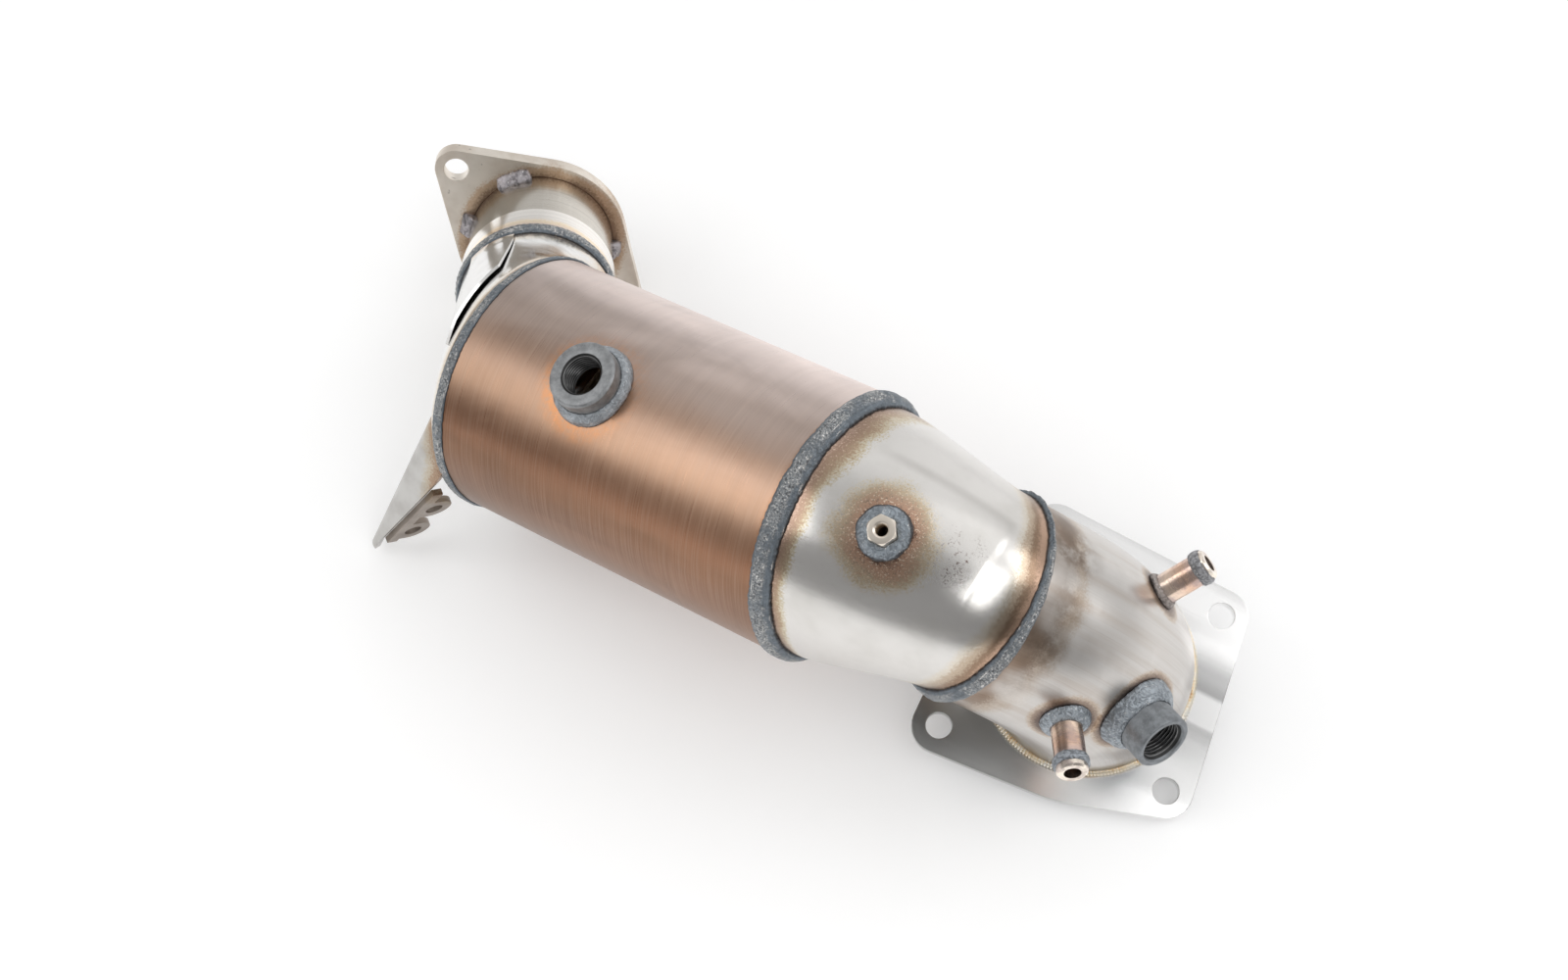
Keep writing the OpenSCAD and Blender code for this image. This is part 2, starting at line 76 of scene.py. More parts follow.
bend = math.radians(pipe["bendAngle"])
bendBase = (pipe["plate"] + pipe["straight"]) * mm
neckOut = Vector((math.cos(bend), 0, math.sin(bend)))
neckAxis = Vector((-math.sin(bend), 0, math.cos(bend)))
bendRadius = pipe["bendRadius"] * mm
neckPoint = (Vector((-bendRadius * (1 - math.cos(bend)), 0, bendBase + bendRadius * math.sin(bend)))
             + pipe["neckLength"] * mm * neckAxis)
canAxis = heading(can["azimuth"], can["slope"])
canUp = upright(canAxis)
canSide = canAxis.cross(canUp)
canStart = neckPoint + can["pathA"] * mm * neckAxis + can["pathB"] * mm * canAxis
canEnd = canStart + can["length"] * mm * canAxis
outAxis = heading(outlet["azimuth"], outlet["slope"])
outUp = carried(canUp, canAxis, outAxis)
outStart = (canEnd + outlet["up"] * mm * canUp + outlet["side"] * mm * canSide
            + outlet["along"] * mm * canAxis)
clock = math.radians(outlet["clock"])
outBolt = math.cos(clock) * outUp + math.sin(clock) * outAxis.cross(outUp)
pipeRadius, wall, collar = pipe["radius"] * mm, pipe["wall"] * mm, pipe["collar"] * mm
canRadius, coneRadius = can["radius"] * mm, can["coneRadius"] * mm
outRadius = outlet["radius"] * mm
capRadius = outRadius + outlet["capGap"] * mm
# a pressed shell: centre, x, axis and radius of both rings, then how far each end runs straight
coneEnds = (neckPoint + collar * neckAxis, neckOut, neckAxis, pipeRadius,
            canStart - collar * canAxis, canUp, canAxis, coneRadius, 0.35, 0.8, 0.35, 0.8)
capEnds = (canEnd + collar * canAxis, canUp, canAxis, canRadius,
           outStart - collar * outAxis, outUp, outAxis, capRadius, 0.1, 0.35, 0.35, 0.6)


def spoke(centre, x, z, radius, angle):
    a = math.radians(angle)
    return centre + radius * math.cos(a) * x + radius * math.sin(a) * z.cross(x)


def skin(e, angle, s):
    # a point on a pressed shell, s from 0 to 1 along it
    p, q = spoke(*e[0:4], angle), spoke(*e[4:8], angle)
    d = q - p
    m = e[2] * max(e[8] * d.length, d.dot(e[2])) * e[9]
    n = e[6] * max(e[10] * d.length, d.dot(e[6])) * e[11]
    return ((2 * s ** 3 - 3 * s * s + 1) * p + (s ** 3 - 2 * s * s + s) * m
            + (3 * s * s - 2 * s ** 3) * q + (s ** 3 - s * s) * n)


def skinNormal(e, angle, s):
    turn, step = 2, 0.03
    return unit((skin(e, angle + turn, s) - skin(e, angle - turn, s)).cross(
        skin(e, angle, min(1, s + step)) - skin(e, angle, max(0, s - step))))


def onElbow(a, turn):
    a, t = math.radians(a), math.radians(turn)
    n = Vector((math.cos(t) * math.cos(a), math.sin(t), math.cos(t) * math.sin(a)))
    c = Vector((-bendRadius * (1 - math.cos(a)), 0, bendBase + bendRadius * math.sin(a)))
    return axes(c + pipeRadius * n, Vector((-math.sin(a), 0, math.cos(a))), n)


atNeck = axes(neckPoint, neckOut, neckAxis)
atCan = axes(canStart, canUp, canAxis)
atCanEnd = axes(canEnd, canUp, canAxis)
atOut = axes(outStart, outBolt, outAxis)
lambdaTurn = math.radians(bosses["lambdaTurn"])
lambdaOut = math.cos(lambdaTurn) * canUp + math.sin(lambdaTurn) * canSide
atLambda = axes(canStart + bosses["lambdaAlong"] * mm * canAxis + canRadius * lambdaOut, -canAxis, lambdaOut)
atElbowBoss, atFrontStub, atSideStub = [onElbow(*bosses[k]) for k in ("elbowBoss", "frontStub", "sideStub")]
hexSpot = (coneEnds, bosses["hexTurn"], bosses["hexAlong"])
hexOut = skinNormal(*hexSpot)
atHex = axes(skin(*hexSpot), unit(hexOut.cross(canAxis)), hexOut)
print("layout done")


class Wire:
    # a node's output; arithmetic on it adds a math node
    def __init__(self, graph, socket):
        self.graph, self.socket = graph, socket

    def __add__(self, other):
        return self.graph.math("ADD", self, other)

    def __radd__(self, other):
        return self.graph.math("ADD", other, self)

    def __sub__(self, other):
        return self.graph.math("SUBTRACT", self, other)

    def __mul__(self, other):
        return self.graph.math("MULTIPLY", self, other)

    def __truediv__(self, other):
        return self.graph.math("DIVIDE", self, other)


class Graph:
    # short ways to add nodes to one tree
    def __init__(self, tree):
        self.tree = tree

    def feed(self, socket, value):
        if isinstance(value, Wire):
            self.tree.links.new(value.socket, socket)
        elif isinstance(value, (tuple, list, Vector)) and len(value) == 3 and socket.type == "RGBA":
            socket.default_value = (*value, 1)
        else:
            socket.default_value = value

    def node(self, kind, inputs=(), out=0, **settings):
        # inputs in order, or in a dictionary by name or number
        n = self.tree.nodes.new(kind)
        for key, value in settings.items():
            setattr(n, key, value)
        for key, value in inputs.items() if isinstance(inputs, dict) else enumerate(inputs):
            self.feed(n.inputs[key], value)
        return Wire(self, n.outputs[out])

    def math(self, operation, *values):
        return self.node("ShaderNodeMath", values, operation=operation)

    def vector(self, operation, a, b=(0, 0, 0)):
        return self.node("ShaderNodeVectorMath", {0: a, "Scale" if operation == "SCALE" else 1: b},
                         "Value" if operation in ("DOT_PRODUCT", "LENGTH", "DISTANCE") else 0,
                         operation=operation)

    def dot(self, a, b):
        return self.vector("DOT_PRODUCT", a, b)

    def pack(self, x, y, z):
        return self.node("ShaderNodeCombineXYZ", (x, y, z))

    def span(self, x, y):
        return self.vector("LENGTH", self.pack(x, y, 0.0))

    def spread(self, value, low, high, a=0.0, b=1.0, smooth=True):
        # goes from a to b as the value goes from low to high
        return self.node("ShaderNodeMapRange", (value, low, high, a, b),
                         interpolation_type="SMOOTHSTEP" if smooth else "LINEAR")

    def grain(self, vector, scale, detail=2.0, roughness=0.5, distortion=0.0):
        return self.node("ShaderNodeTexNoise", {"Vector": vector, "Scale": scale, "Detail": detail,
                                                "Roughness": roughness, "Distortion": distortion})


class Finish(Graph):
    # one material, built from object coordinates
    def __init__(self, name):
        self.material = bpy.data.materials.new(name)
        self.material.use_nodes = True
        super().__init__(self.material.node_tree)
        self.tree.nodes.clear()
        end = self.tree.nodes.new("ShaderNodeOutputMaterial")
        self.shader = self.tree.nodes.new("ShaderNodeBsdfPrincipled")
        self.tree.links.new(self.shader.outputs[0], end.inputs[0])
        self.where = self.node("ShaderNodeTexCoord", out="Object")

    def local(self, place):
        # x, y, z in metres in a placed frame
        p = self.vector("SUBTRACT", self.where, place.translation)
        return [self.dot(p, place.col[i].to_3d()) for i in range(3)]

    def stretched(self, place, *scales):
        # noise coordinates that run long where a scale is small
        return self.pack(*[p * k for p, k in zip(self.local(place), scales)])

    def fromRing(self, place):
        return self.math("ABSOLUTE", self.local(place)[2])

    def fromPoint(self, place):
        return self.vector("LENGTH", self.pack(*self.local(place)))

    def fleck(self, *settings):
        # grain with no direction
        return self.grain(self.where, *settings)

    def ramp(self, value, stops):
        made = self.node("ShaderNodeValToRGB", (value,))
        colours = made.socket.node.color_ramp
        colours.interpolation = "EASE"
        for i, (at, colour) in enumerate(stops):
            e = colours.elements[i] if i < 2 else colours.elements.new(at)
            e.position, e.color = at, (*colour, 1)
        return made

    def mix(self, amount, a, b, mode="MIX"):
        return self.node("ShaderNodeMix", {"Factor": amount, 6: a, 7: b}, 2, data_type="RGBA",
                         blend_type=mode)

    def laid(self, colour, tone, value, low, high, most=1.0):
        # lays a tone over the colour as the value goes from low to high
        return self.mix(self.spread(value, low, high, 0.0, most), colour, tone)

    def heat(self, colour, distance, reach, tints, rough=0.35):
        # tempering colours that fade with distance from a weld, broken up by grain
        speckle = self.fleck(1100, 3, 0.7)
        drift = self.fleck(42, 3)
        d = distance + (speckle - 0.5) * (reach * rough * 1.6)
        d = d + (drift - 0.5) * (reach * rough * 1.8)
        t = self.spread(d, 0.0, reach, smooth=False)
        tint = self.ramp(t, [(i / (len(tints) - 1) * 0.86, c) for i, c in enumerate(tints)])
        fade = self.spread(t, 0.5, 1.0, 1.0, 0.0)
        return self.mix(fade, colour, self.mix(1.0, colour, tint, "MULTIPLY"))

    def bump(self, height, strength, distance=0.0002):
        made = self.node("ShaderNodeBump", {"Strength": strength, "Distance": distance, "Height": height})
        normal = self.shader.inputs["Normal"]
        if normal.is_linked:
            self.tree.links.new(normal.links[0].from_socket, made.socket.node.inputs["Normal"])
        self.feed(normal, made)

    def metal(self, colour, roughness, amount=1.0, anisotropy=0.0, along=None):
        self.feed(self.shader.inputs["Base Color"], colour)
        self.feed(self.shader.inputs["Roughness"], roughness)
        self.shader.inputs["Metallic"].default_value = amount
        if anisotropy:
            normal = self.node("ShaderNodeNewGeometry", out="Normal")
            self.shader.inputs["Anisotropic"].default_value = anisotropy
            self.feed(self.shader.inputs["Tangent"], self.vector("CROSS_PRODUCT", normal, along))
        return self.material


def shade(colour, k):
    return tuple(k * c for c in colour)


clear = (1, 1, 1)


def canisterFinish():
    look = {"tones": ((0.3, 0.175, 0.118), (0.29, 0.16, 0.1), (0.345, 0.178, 0.108), (0.47, 0.295, 0.2),
                      (0.45, 0.295, 0.215), (0.46, 0.365, 0.32), (0.67, 0.555, 0.505), (0.9, 0.765, 0.715)),
            "at": (0.04, 0.105, 0.17, 0.33, 0.46, 0.65, 0.75, 0.84), "deep": 0.87, "far": 0.84,
            "roughness": 0.31, "brush": 0.11, "scratch": (0.78, 0.62, 0.5), "orange": (0.6, 0.25, 0.09),
            "atWeld": ((0.55, 0.42, 0.36), (0.85, 0.7, 0.58), clear)}
    f = Finish("canisterBronze")
    _, y, z = f.local(atCan)
    brush = f.grain(f.stretched(atCan, 22, 22, 1500), 1.0, 3, 0.65)
    band = f.grain(f.stretched(atCan, 18, 18, 260), 1.0, 2, 0.5)
    cloud = f.grain(f.stretched(atCan, 34, 34, 16), 1.0, 3, 0.55, 0.6)
    # the colour turns with the clock angle: brown below, bronze in front, rose grey above; partly the metal's
    # own tint, partly painted light and shade, lighter on top and darker below
    turn = y * (0.5 / canRadius) + 0.5
    drift = (cloud - 0.5) * 0.09
    colour = f.ramp(turn + drift, list(zip(look["at"], look["tones"])))
    # random darker blotches, and painted shade: darker towards the canister's far end
    blotchAndShade = f.spread(cloud, 0.62, 0.34, 1.0, look["deep"]) * f.spread(z, 0.03, 0.15, 1.0, look["far"])
    blotchAndShade = blotchAndShade * f.spread(band, 0.3, 0.7, 1.02, 0.965)
    colour = f.vector("SCALE", colour, blotchAndShade)
    colour = f.laid(colour, look["scratch"], brush, 0.4, 0.72, 0.11)
    fromBoss = f.vector("SUBTRACT", f.where, atLambda.translation)
    bossSide = f.spread(f.dot(fromBoss, unit(canAxis - 0.9 * canSide)), -0.012, 0.016, 0.35, 1.0)
    orange = f.spread(f.fromPoint(atLambda), 0.0175, 0.028, 0.85, 0.0) * bossSide
    colour = f.mix(orange * f.spread(f.fleck(420, 4, 0.7), 0.25, 0.7), colour, look["orange"])
    colour = f.heat(colour, f.fromRing(atCan), 0.007, look["atWeld"])
    rough = look["roughness"] + (brush - 0.5) * 0.22
    f.bump(brush, look["brush"], 0.0001)
    return f.metal(colour, rough, 1.0, 0.55, canAxis)


def coneFinish():
    look = {"base": (0.74, 0.72, 0.695), "cloud": (0.56, 0.54, 0.5), "roughness": 0.16, "collar": 0.0098,
            "creaseWidth": 0.0045, "creaseAt": 28, "soot": (0.2, 0.13, 0.11), "sparks": (0.98, 0.8, 0.64),
            "creaseShade": (0.3, 0.28, 0.26),
            "atCan": ((0.62, 0.45, 0.37), (0.5, 0.35, 0.27), (0.58, 0.44, 0.32), (0.82, 0.73, 0.54), clear),
            "atNeck": ((0.72, 0.5, 0.38), (0.4, 0.28, 0.2), (0.7, 0.58, 0.46), (0.96, 0.9, 0.8), clear),
            "atHex": ((0.22, 0.13, 0.1), (0.76, 0.5, 0.37), (0.72, 0.52, 0.39), (0.8, 0.67, 0.5),
                      (0.94, 0.87, 0.72), clear)}
    f = Finish("coneStainless")
    brush = f.grain(f.stretched(atCan, 700, 700, 60), 1.0, 3, 0.6)
    cloud = f.fleck(45, 3, 0.6)
    colour = f.laid(look["base"], look["cloud"], cloud, 0.4, 0.75, 0.35)
    # the tint is widest on the upper left and thin below
    _, y, z = f.local(atCan)
    offCan = f.math("ABSOLUTE", z)
    wide = f.spread(y / coneRadius, -0.7, 0.5, 1.9, 1.0)
    colour = f.heat(colour, (offCan - 0.0035) * wide, 0.0185, look["atCan"], 0.55)
    colour = f.heat(colour, f.fromRing(atNeck) - 0.003, 0.015, look["atNeck"], 0.25)
    hexAway = f.fromPoint(atHex)
    colour = f.heat(colour, hexAway - 0.01, 0.0172, look["atHex"], 0.5)
    near = f.spread(hexAway, 0.012, 0.026, 1.0, 0.0)
    pits = f.spread(f.fleck(1100, 3, 0.75), 0.545, 0.62)
    # soot drifts off towards the neck
    tail = f.spread(f.vector("DISTANCE", f.where, skin(coneEnds, -3, 0.36)), 0.003, 0.017, 0.9, 0.0)
    smoke = f.spread(f.fleck(130, 3, 0.6), 0.42, 0.62) * tail
    besideWeld = f.spread(offCan * wide, 0.006, 0.02, 0.5, 0.0)
    near = f.math("MAXIMUM", near, besideWeld)
    colour = f.mix(pits * f.math("MAXIMUM", near * 0.62, smoke), colour, look["soot"])
    sparks = f.spread(f.fleck(1250, 2, 0.6), 0.58, 0.66) * near
    colour = f.mix(sparks * 0.8, colour, look["sparks"])
    # a soft crease along the upper side with a painted shade line on it, and the edge of the rolled collar
    high, low = [skin(coneEnds, look["creaseAt"], s) for s in (0.84, 0.16)]
    outOf, length = skinNormal(coneEnds, look["creaseAt"], 0.5), (low - high).length
    fromHigh = f.vector("SUBTRACT", f.where, high)
    offCrease = f.dot(fromHigh, unit((low - high).cross(outOf)))
    along = f.dot(fromHigh, unit(low - high))
    outside = f.spread(f.dot(fromHigh, outOf), -0.03, -0.01)
    reach = outside * (f.spread(along, 0.0, 0.018) * f.spread(along, length - 0.004, length, 1.0, 0.0))
    fold = f.spread(offCrease, -look["creaseWidth"], look["creaseWidth"]) * reach
    # painted shade along the crease line
    line = f.spread(f.math("ABSOLUTE", offCrease), 0.0, 0.004, 0.26, 0.0) * reach
    colour = f.mix(line, colour, look["creaseShade"])
    rough = look["roughness"] + (cloud + brush) * 0.08
    f.bump(brush, 0.16, 0.0001)
    f.bump(cloud, 0.05, 0.002)
    f.bump(fold, 0.8, 0.0003)
    f.bump(f.spread(f.fromRing(atNeck), look["collar"] - 0.003, look["collar"] + 0.003), 1.0, 0.0003)
    return f.metal(colour, rough, 1.0, 0.3, canAxis)


def elbowFinish():
    look = {"base": (0.64, 0.615, 0.59), "warm": (0.52, 0.46, 0.41), "roughness": 0.27,
            "streak": (0.42, 0.375, 0.34), "cloud": (0.84, 0.81, 0.78), "smoke": (0.2, 0.15, 0.115),
            "smudges": ((36, -11, 18, 1.0), (54, -8, 13, 1.0), (4, -13, 13, 0.6), (-24, -12, 15, 0.85),
                        (-46, -12, 10, 0.35)),
            "atNeck": ((0.46, 0.36, 0.29), (0.44, 0.34, 0.27), (0.8, 0.7, 0.6), clear),
            "atFoot": ((0.26, 0.21, 0.19), (0.5, 0.41, 0.35), (0.86, 0.76, 0.66), clear)}
    f = Finish("elbowStainless")
    # streaks follow the tube: angle round the bend's axis is the slow direction
    x, y, z = f.local(axes(Vector((-bendRadius, 0, bendBase)), Vector((1, 0, 0)), Vector((0, 0, 1))))
    bendTurn = f.math("ARCTAN2", z, x)
    out = f.span(x, z) - bendRadius
    ring = f.math("ARCTAN2", y, out)
    streak = f.grain(f.pack(bendTurn * 1.1, ring * 80.0, 0.0), 1.0, 4, 0.65)
    wide = f.grain(f.pack(bendTurn * 0.8, ring * 6.0, 3.0), 1.0, 3, 0.6)
    cloud = f.fleck(60, 3, 0.6)
    colour = f.laid(look["base"], look["warm"], wide, 0.42, 0.7, 0.6)
    colour = f.laid(colour, look["streak"], streak, 0.5, 0.74, 0.42)
    colour = f.laid(colour, look["cloud"], cloud, 0.5, 0.8, 0.3)
    # brown smoke beside the neck weld, patchy
    patch = f.spread(f.fleck(36, 2), 0.36, 0.62)
    brown = f.heat(colour, f.fromRing(atNeck) - 0.003, 0.024, look["atNeck"], 0.35)
    colour = f.mix(f.spread(patch, 0.0, 1.0, 0.3, 1.0), colour, brown)
    smoky = f.spread(f.fleck(95, 4, 0.65), 0.3, 0.62)
    for angle, back, size, amount in look["smudges"]:
        at = spoke(neckPoint + back * mm * neckAxis, neckOut, neckAxis, pipeRadius, angle)
        near = f.spread(f.vector("DISTANCE", f.where, at), 0.15 * size * mm, size * mm, amount, 0.0)
        colour = f.mix(near * smoky, colour, look["smoke"])
    for place, start, reach in ((atFrontStub, 0.0108, 0.006), (atElbowBoss, 0.0168, 0.005),
                                (atSideStub, 0.008, 0.007)):
        colour = f.heat(colour, f.fromPoint(place) - start, reach, look["atFoot"], 0.42)
    rough = look["roughness"] + streak * 0.12
    f.bump(streak, 0.1, 0.00015)
    return f.metal(colour, rough)


def weldFinish(name, place, radius, height, tilt):
    # a girth bead: dark edges, blue-grey flanks with streaks along it, gritty crest; painted highlights:
    # glints on the crest and bright lines along the streaks
    look = {"edge": (0.055, 0.058, 0.065), "flank": (0.205, 0.235, 0.265), "crest": (0.325, 0.335, 0.34),
            "paintedGlint": (0.8, 0.78, 0.75), "pit": (0.1, 0.1, 0.105)}
    f = Finish(name)
    x, y, z = f.local(place)
    far = f.span(x, y) - z * tilt
    rise = (far - radius) / height
    turn = f.math("ARCTAN2", y, x)
    streak = f.grain(f.pack(turn * 5.0, z * 1500.0, 0.0), 1.0, 3, 0.6)
    grit = f.fleck(1150, 3, 0.75)
    coarse = f.fleck(420, 4, 0.7, 1.2)
    patch = f.fleck(75, 3, 0.6)
    crest = f.spread(rise, 0.6, 0.86) * f.spread(patch, 0.34, 0.54, 0.15, 1.0)
    colour = f.laid(look["flank"], shade(look["flank"], 0.55), streak, 0.35, 0.7, 0.7)
    colour = f.laid(colour, shade(look["flank"], 1.7), coarse, 0.5, 0.75, 0.5)
    colour = f.mix(crest * 0.75, colour, look["crest"])
    pits = f.spread(grit, 0.45, 0.39, 0.0, 1.0) * crest
    # painted highlights: glints on the crest and bright lines along the streaks
    paintedGlints = f.spread(grit, 0.56, 0.62) * crest
    lines = f.spread(streak, 0.58, 0.66) * f.spread(patch, 0.45, 0.56, 0.0, 0.9)
    colour = f.mix(pits, colour, look["pit"])
    bright = f.math("MAXIMUM", paintedGlints, lines)
    colour = f.mix(bright, colour, look["paintedGlint"])
    colour = f.mix(f.spread(rise, 0.05, 0.42, 0.85, 0.0), colour, look["edge"])
    f.bump(streak, 0.3, 0.0005)
    f.bump(coarse, 0.8, 0.0012)
    f.bump(grit, 0.6, 0.0004)
    return f.metal(colour, f.spread(bright, 0.0, 1.0, 0.42, 0.22), 0.9)


def footFinish(name, place, reach, tone, swirl, size=330):
    # a fillet round a boss: curdled blue-grey scale with painted glints and a dark outline
    look = {"paintedGlint": (0.85, 0.84, 0.82), "edge": (0.05, 0.045, 0.045)}
    f = Finish(name)
    x, y, _ = f.local(place)
    far = f.span(x, y)
    curd = f.fleck(size, 3, 0.55, 2.6)
    rings = f.spread(curd, 0.4, 0.6)
    grit = f.fleck(1250, 3, 0.7)
    patch = f.fleck(150, 3, 0.6)
    colour = f.mix(rings * swirl, shade(tone, 0.8), shade(tone, 1.8))
    colour = f.laid(colour, shade(tone, 1.6), patch, 0.48, 0.62, 0.45)
    # painted glints: bright specks where the grit and patch noise are high
    paintedGlints = f.spread(grit, 0.6, 0.66) * f.spread(patch, 0.5, 0.58)
    colour = f.mix(paintedGlints, colour, look["paintedGlint"])
    edge = far + (patch - 0.5) * 0.003
    colour = f.laid(colour, look["edge"], edge, (reach - 0.9) * mm, reach * mm, 0.85)
    f.bump(rings, 0.45, 0.0005)
    f.bump(grit, 0.35, 0.0003)
    return f.metal(colour, f.spread(paintedGlints, 0.0, 1.0, 0.46, 0.28), 0.85)


def bossFinish(name, base, place, rings=True):
    look = {"speck": (0.5, 0.5, 0.5), "bore": (0.00905, 0.0092), "thread": (0.0082, 0.0091),
            "crestLightRootShade": ((0.0, 0.34), (0.3, 0.045), (1.0, 0.03))}
    f = Finish(name)
    x, y, z = f.local(place)
    far = f.span(x, y)
    turning = f.grain(f.pack(far * 5200.0, 0.0, z * 4200.0), 1.0, 2)
    blot = f.fleck(320, 4, 0.65)
    colour = f.laid(base, shade(base, 1.7), blot, 0.3, 0.72)
    colour = f.laid(colour, look["speck"], f.fleck(1500, 2), 0.62, 0.78, 0.35)
    # painted light and shade in the bore: the thread's crests are painted bright and its roots painted dark
    bore = f.spread(far, *look["bore"], 1.0, 0.0, False)
    crestLightRootShade = [(at, (k, k, k)) for at, k in look["crestLightRootShade"]]
    crest = f.ramp(f.spread(far, *look["thread"], smooth=False), crestLightRootShade)
    colour = f.mix(bore, colour, crest)
    f.bump(turning if rings else blot, 0.12, 0.0001)
    return f.metal(colour, f.spread(blot, 0.2, 0.8, 0.38, 0.55), 0.8)


def stubFinish(name, place):
    # coppery, in bands up the stub
    look = {"tones": ((0.0, (0.68, 0.6, 0.55)), (0.25, (0.94, 0.74, 0.6)), (0.55, (0.82, 0.56, 0.42)),
                      (0.85, (0.62, 0.5, 0.47)), (1.0, (0.97, 0.88, 0.77))),
            "height": 0.022, "blot": (0.4, 0.31, 0.31), "rub": (0.2, 0.15, 0.13)}
    f = Finish(name)
    rub = f.grain(f.stretched(place, 120, 120, 1800), 1.0, 3)
    blot = f.fleck(160, 3, 0.6)
    base = f.ramp(f.local(place)[2] / look["height"], look["tones"])
    colour = f.laid(base, look["blot"], blot, 0.42, 0.66, 0.6)
    colour = f.laid(colour, look["rub"], rub, 0.5, 0.75, 0.3)
    f.bump(rub, 0.12, 0.0001)
    return f.metal(colour, f.spread(blot, 0.3, 0.7, 0.18, 0.32))


def plateFinish():
    look = {"base": (0.97, 0.965, 0.96), "dim": (0.4, 0.4, 0.39), "band": (0.42, 0.42, 0.415),
            "line": (0.4, 0.4, 0.39), "roughness": 0.2, "angle": -5.5,
            "reflectedBands": ((0.0, 1.0), (0.155, 1.0), (0.42, 0.45), (0.445, 0.68), (0.567, 0.72), (0.594, 0.38),
                      (0.667, 0.5), (0.82, 1.0))}
    f = Finish("plateGround")
    a = math.radians(look["angle"])
    across, along = Vector((-math.sin(a), math.cos(a), 0)), Vector((math.cos(a), math.sin(a), 0))
    u = f.dot(f.where, across)
    v = f.dot(f.where, along)
    lines = f.grain(f.pack(u * 700.0, v * 5.0, 0.0), 1.0, 2, 0.5)
    bandNoise = f.grain(f.pack(u * 36.0, v * 4.0, 5.0), 1.0, 1)
    # painted reflection: dimmer towards the lower left lobe, where the plate mirrors the darker room
    slant = f.dot(f.where, (0.86, 0.51, 0))
    colour = f.laid(look["dim"], look["base"], slant, -0.062, 0.022)
    colour = f.laid(colour, look["band"], bandNoise, 0.44, 0.66, 0.55)
    colour = f.laid(colour, look["line"], lines, 0.45, 0.75, 0.07)
    # painted reflection: broad light and dark bands on the outer side, where the ground facets mirror the
    # room
    reflectedBands = f.ramp(f.spread(u, -0.04, 0.05, smooth=False), [(at, (k, k, k)) for at, k in look["reflectedBands"]])
    colour = f.laid(colour, f.mix(1.0, colour, reflectedBands, "MULTIPLY"), v, 0.015, 0.042)
    rough = look["roughness"] + lines * 0.08
    f.bump(lines, 0.03, 0.00008)
    return f.metal(colour, rough)


def outletFlangeFinish():
    look = {"base": (0.83, 0.77, 0.69), "cloud": (0.6, 0.52, 0.44), "spots": (0.1, 0.07, 0.06),
            "atPipe": ((0.34, 0.25, 0.2), (0.74, 0.6, 0.48), clear)}
    f = Finish("outletFlangeTan")
    x, y, _ = f.local(atOut)
    far = f.span(x, y)
    grind = f.grain(f.pack(x * 1300.0, y * 50.0, 0.0), 1.0, 3)
    cloud = f.fleck(55, 3, 0.6)
    base = f.laid(look["base"], look["cloud"], cloud, 0.35, 0.7, 0.7)
    colour = f.heat(base, far - outRadius, 0.009, look["atPipe"], 0.5)
    spots = f.spread(f.fleck(260, 2), 0.66, 0.76) * 0.7
    colour = f.mix(spots * f.spread(f.fleck(28, 1), 0.5, 0.62), colour, look["spots"])
    f.bump(grind, 0.08, 0.0001)
    return f.metal(colour, f.spread(cloud, 0.3, 0.7, 0.3, 0.44))


def ringedTube(name, base, place, weldAt, tints, reach, roughness=0.16, rings=900, bump=0.05):
    f = Finish(name)
    ring = f.grain(f.stretched(place, 8, 8, rings), 1.0, 3)
    smear = f.grain(f.stretched(place, 300, 300, 40), 1.0, 3)
    colour = f.laid(base, shade(base, 0.6), ring, 0.45, 0.7, 0.35)
    colour = f.laid(colour, (0.86, 0.82, 0.76), smear, 0.5, 0.8, 0.25)
    colour = f.heat(colour, f.local(place)[2] - weldAt, reach, tints, 0.25)
    f.bump(ring, bump, 0.0001)
    return f.metal(colour, roughness)


def capFinish(name):
    look = {"base": (0.8, 0.79, 0.775), "smear": (0.62, 0.6, 0.57),
            "atCan": ((0.5, 0.42, 0.36), (0.8, 0.68, 0.55), (0.98, 0.93, 0.86), clear),
            "atOut": ((0.45, 0.36, 0.31), (0.75, 0.62, 0.52), (0.98, 0.92, 0.84), clear)}
    f = Finish(name)
    smear = f.grain(f.stretched(atCanEnd, 220, 220, 50), 1.0, 3)
    colour = f.laid(look["base"], look["smear"], smear, 0.5, 0.8, 0.3)
    colour = f.heat(colour, f.fromRing(atCanEnd), 0.012, look["atCan"])
    colour = f.heat(colour, f.fromRing(atOut), 0.013, look["atOut"])
    f.bump(smear, 0.05, 0.0002)
    return f.metal(colour, f.spread(smear, 0.3, 0.8, 0.1, 0.2))


def bracketFinish(name, base, dark):
    f = Finish(name)
    cloud = f.fleck(70, 3, 0.6)
    fine = f.fleck(900, 3, 0.6)
    colour = f.laid(base, dark, cloud, 0.35, 0.7, 0.6)
    tints = ((0.4, 0.24, 0.17), (0.7, 0.5, 0.36), (0.95, 0.86, 0.72), clear)
    colour = f.heat(colour, f.fromRing(atCanEnd) - 0.002, 0.016, tints, 0.5)
    f.bump(fine, 0.06, 0.0001)
    return f.metal(colour, f.spread(cloud, 0.3, 0.7, 0.34, 0.46), 0.9)


def goldFinish():
    f = Finish("goldBead")
    cloud = f.fleck(120, 3, 0.6)
    colour = f.ramp(cloud, [(0.3, (0.97, 0.94, 0.88)), (0.5, (0.97, 0.89, 0.75)), (0.62, (0.9, 0.74, 0.54)),
                            (0.75, (0.46, 0.33, 0.28))])
    return f.metal(colour, 0.24)


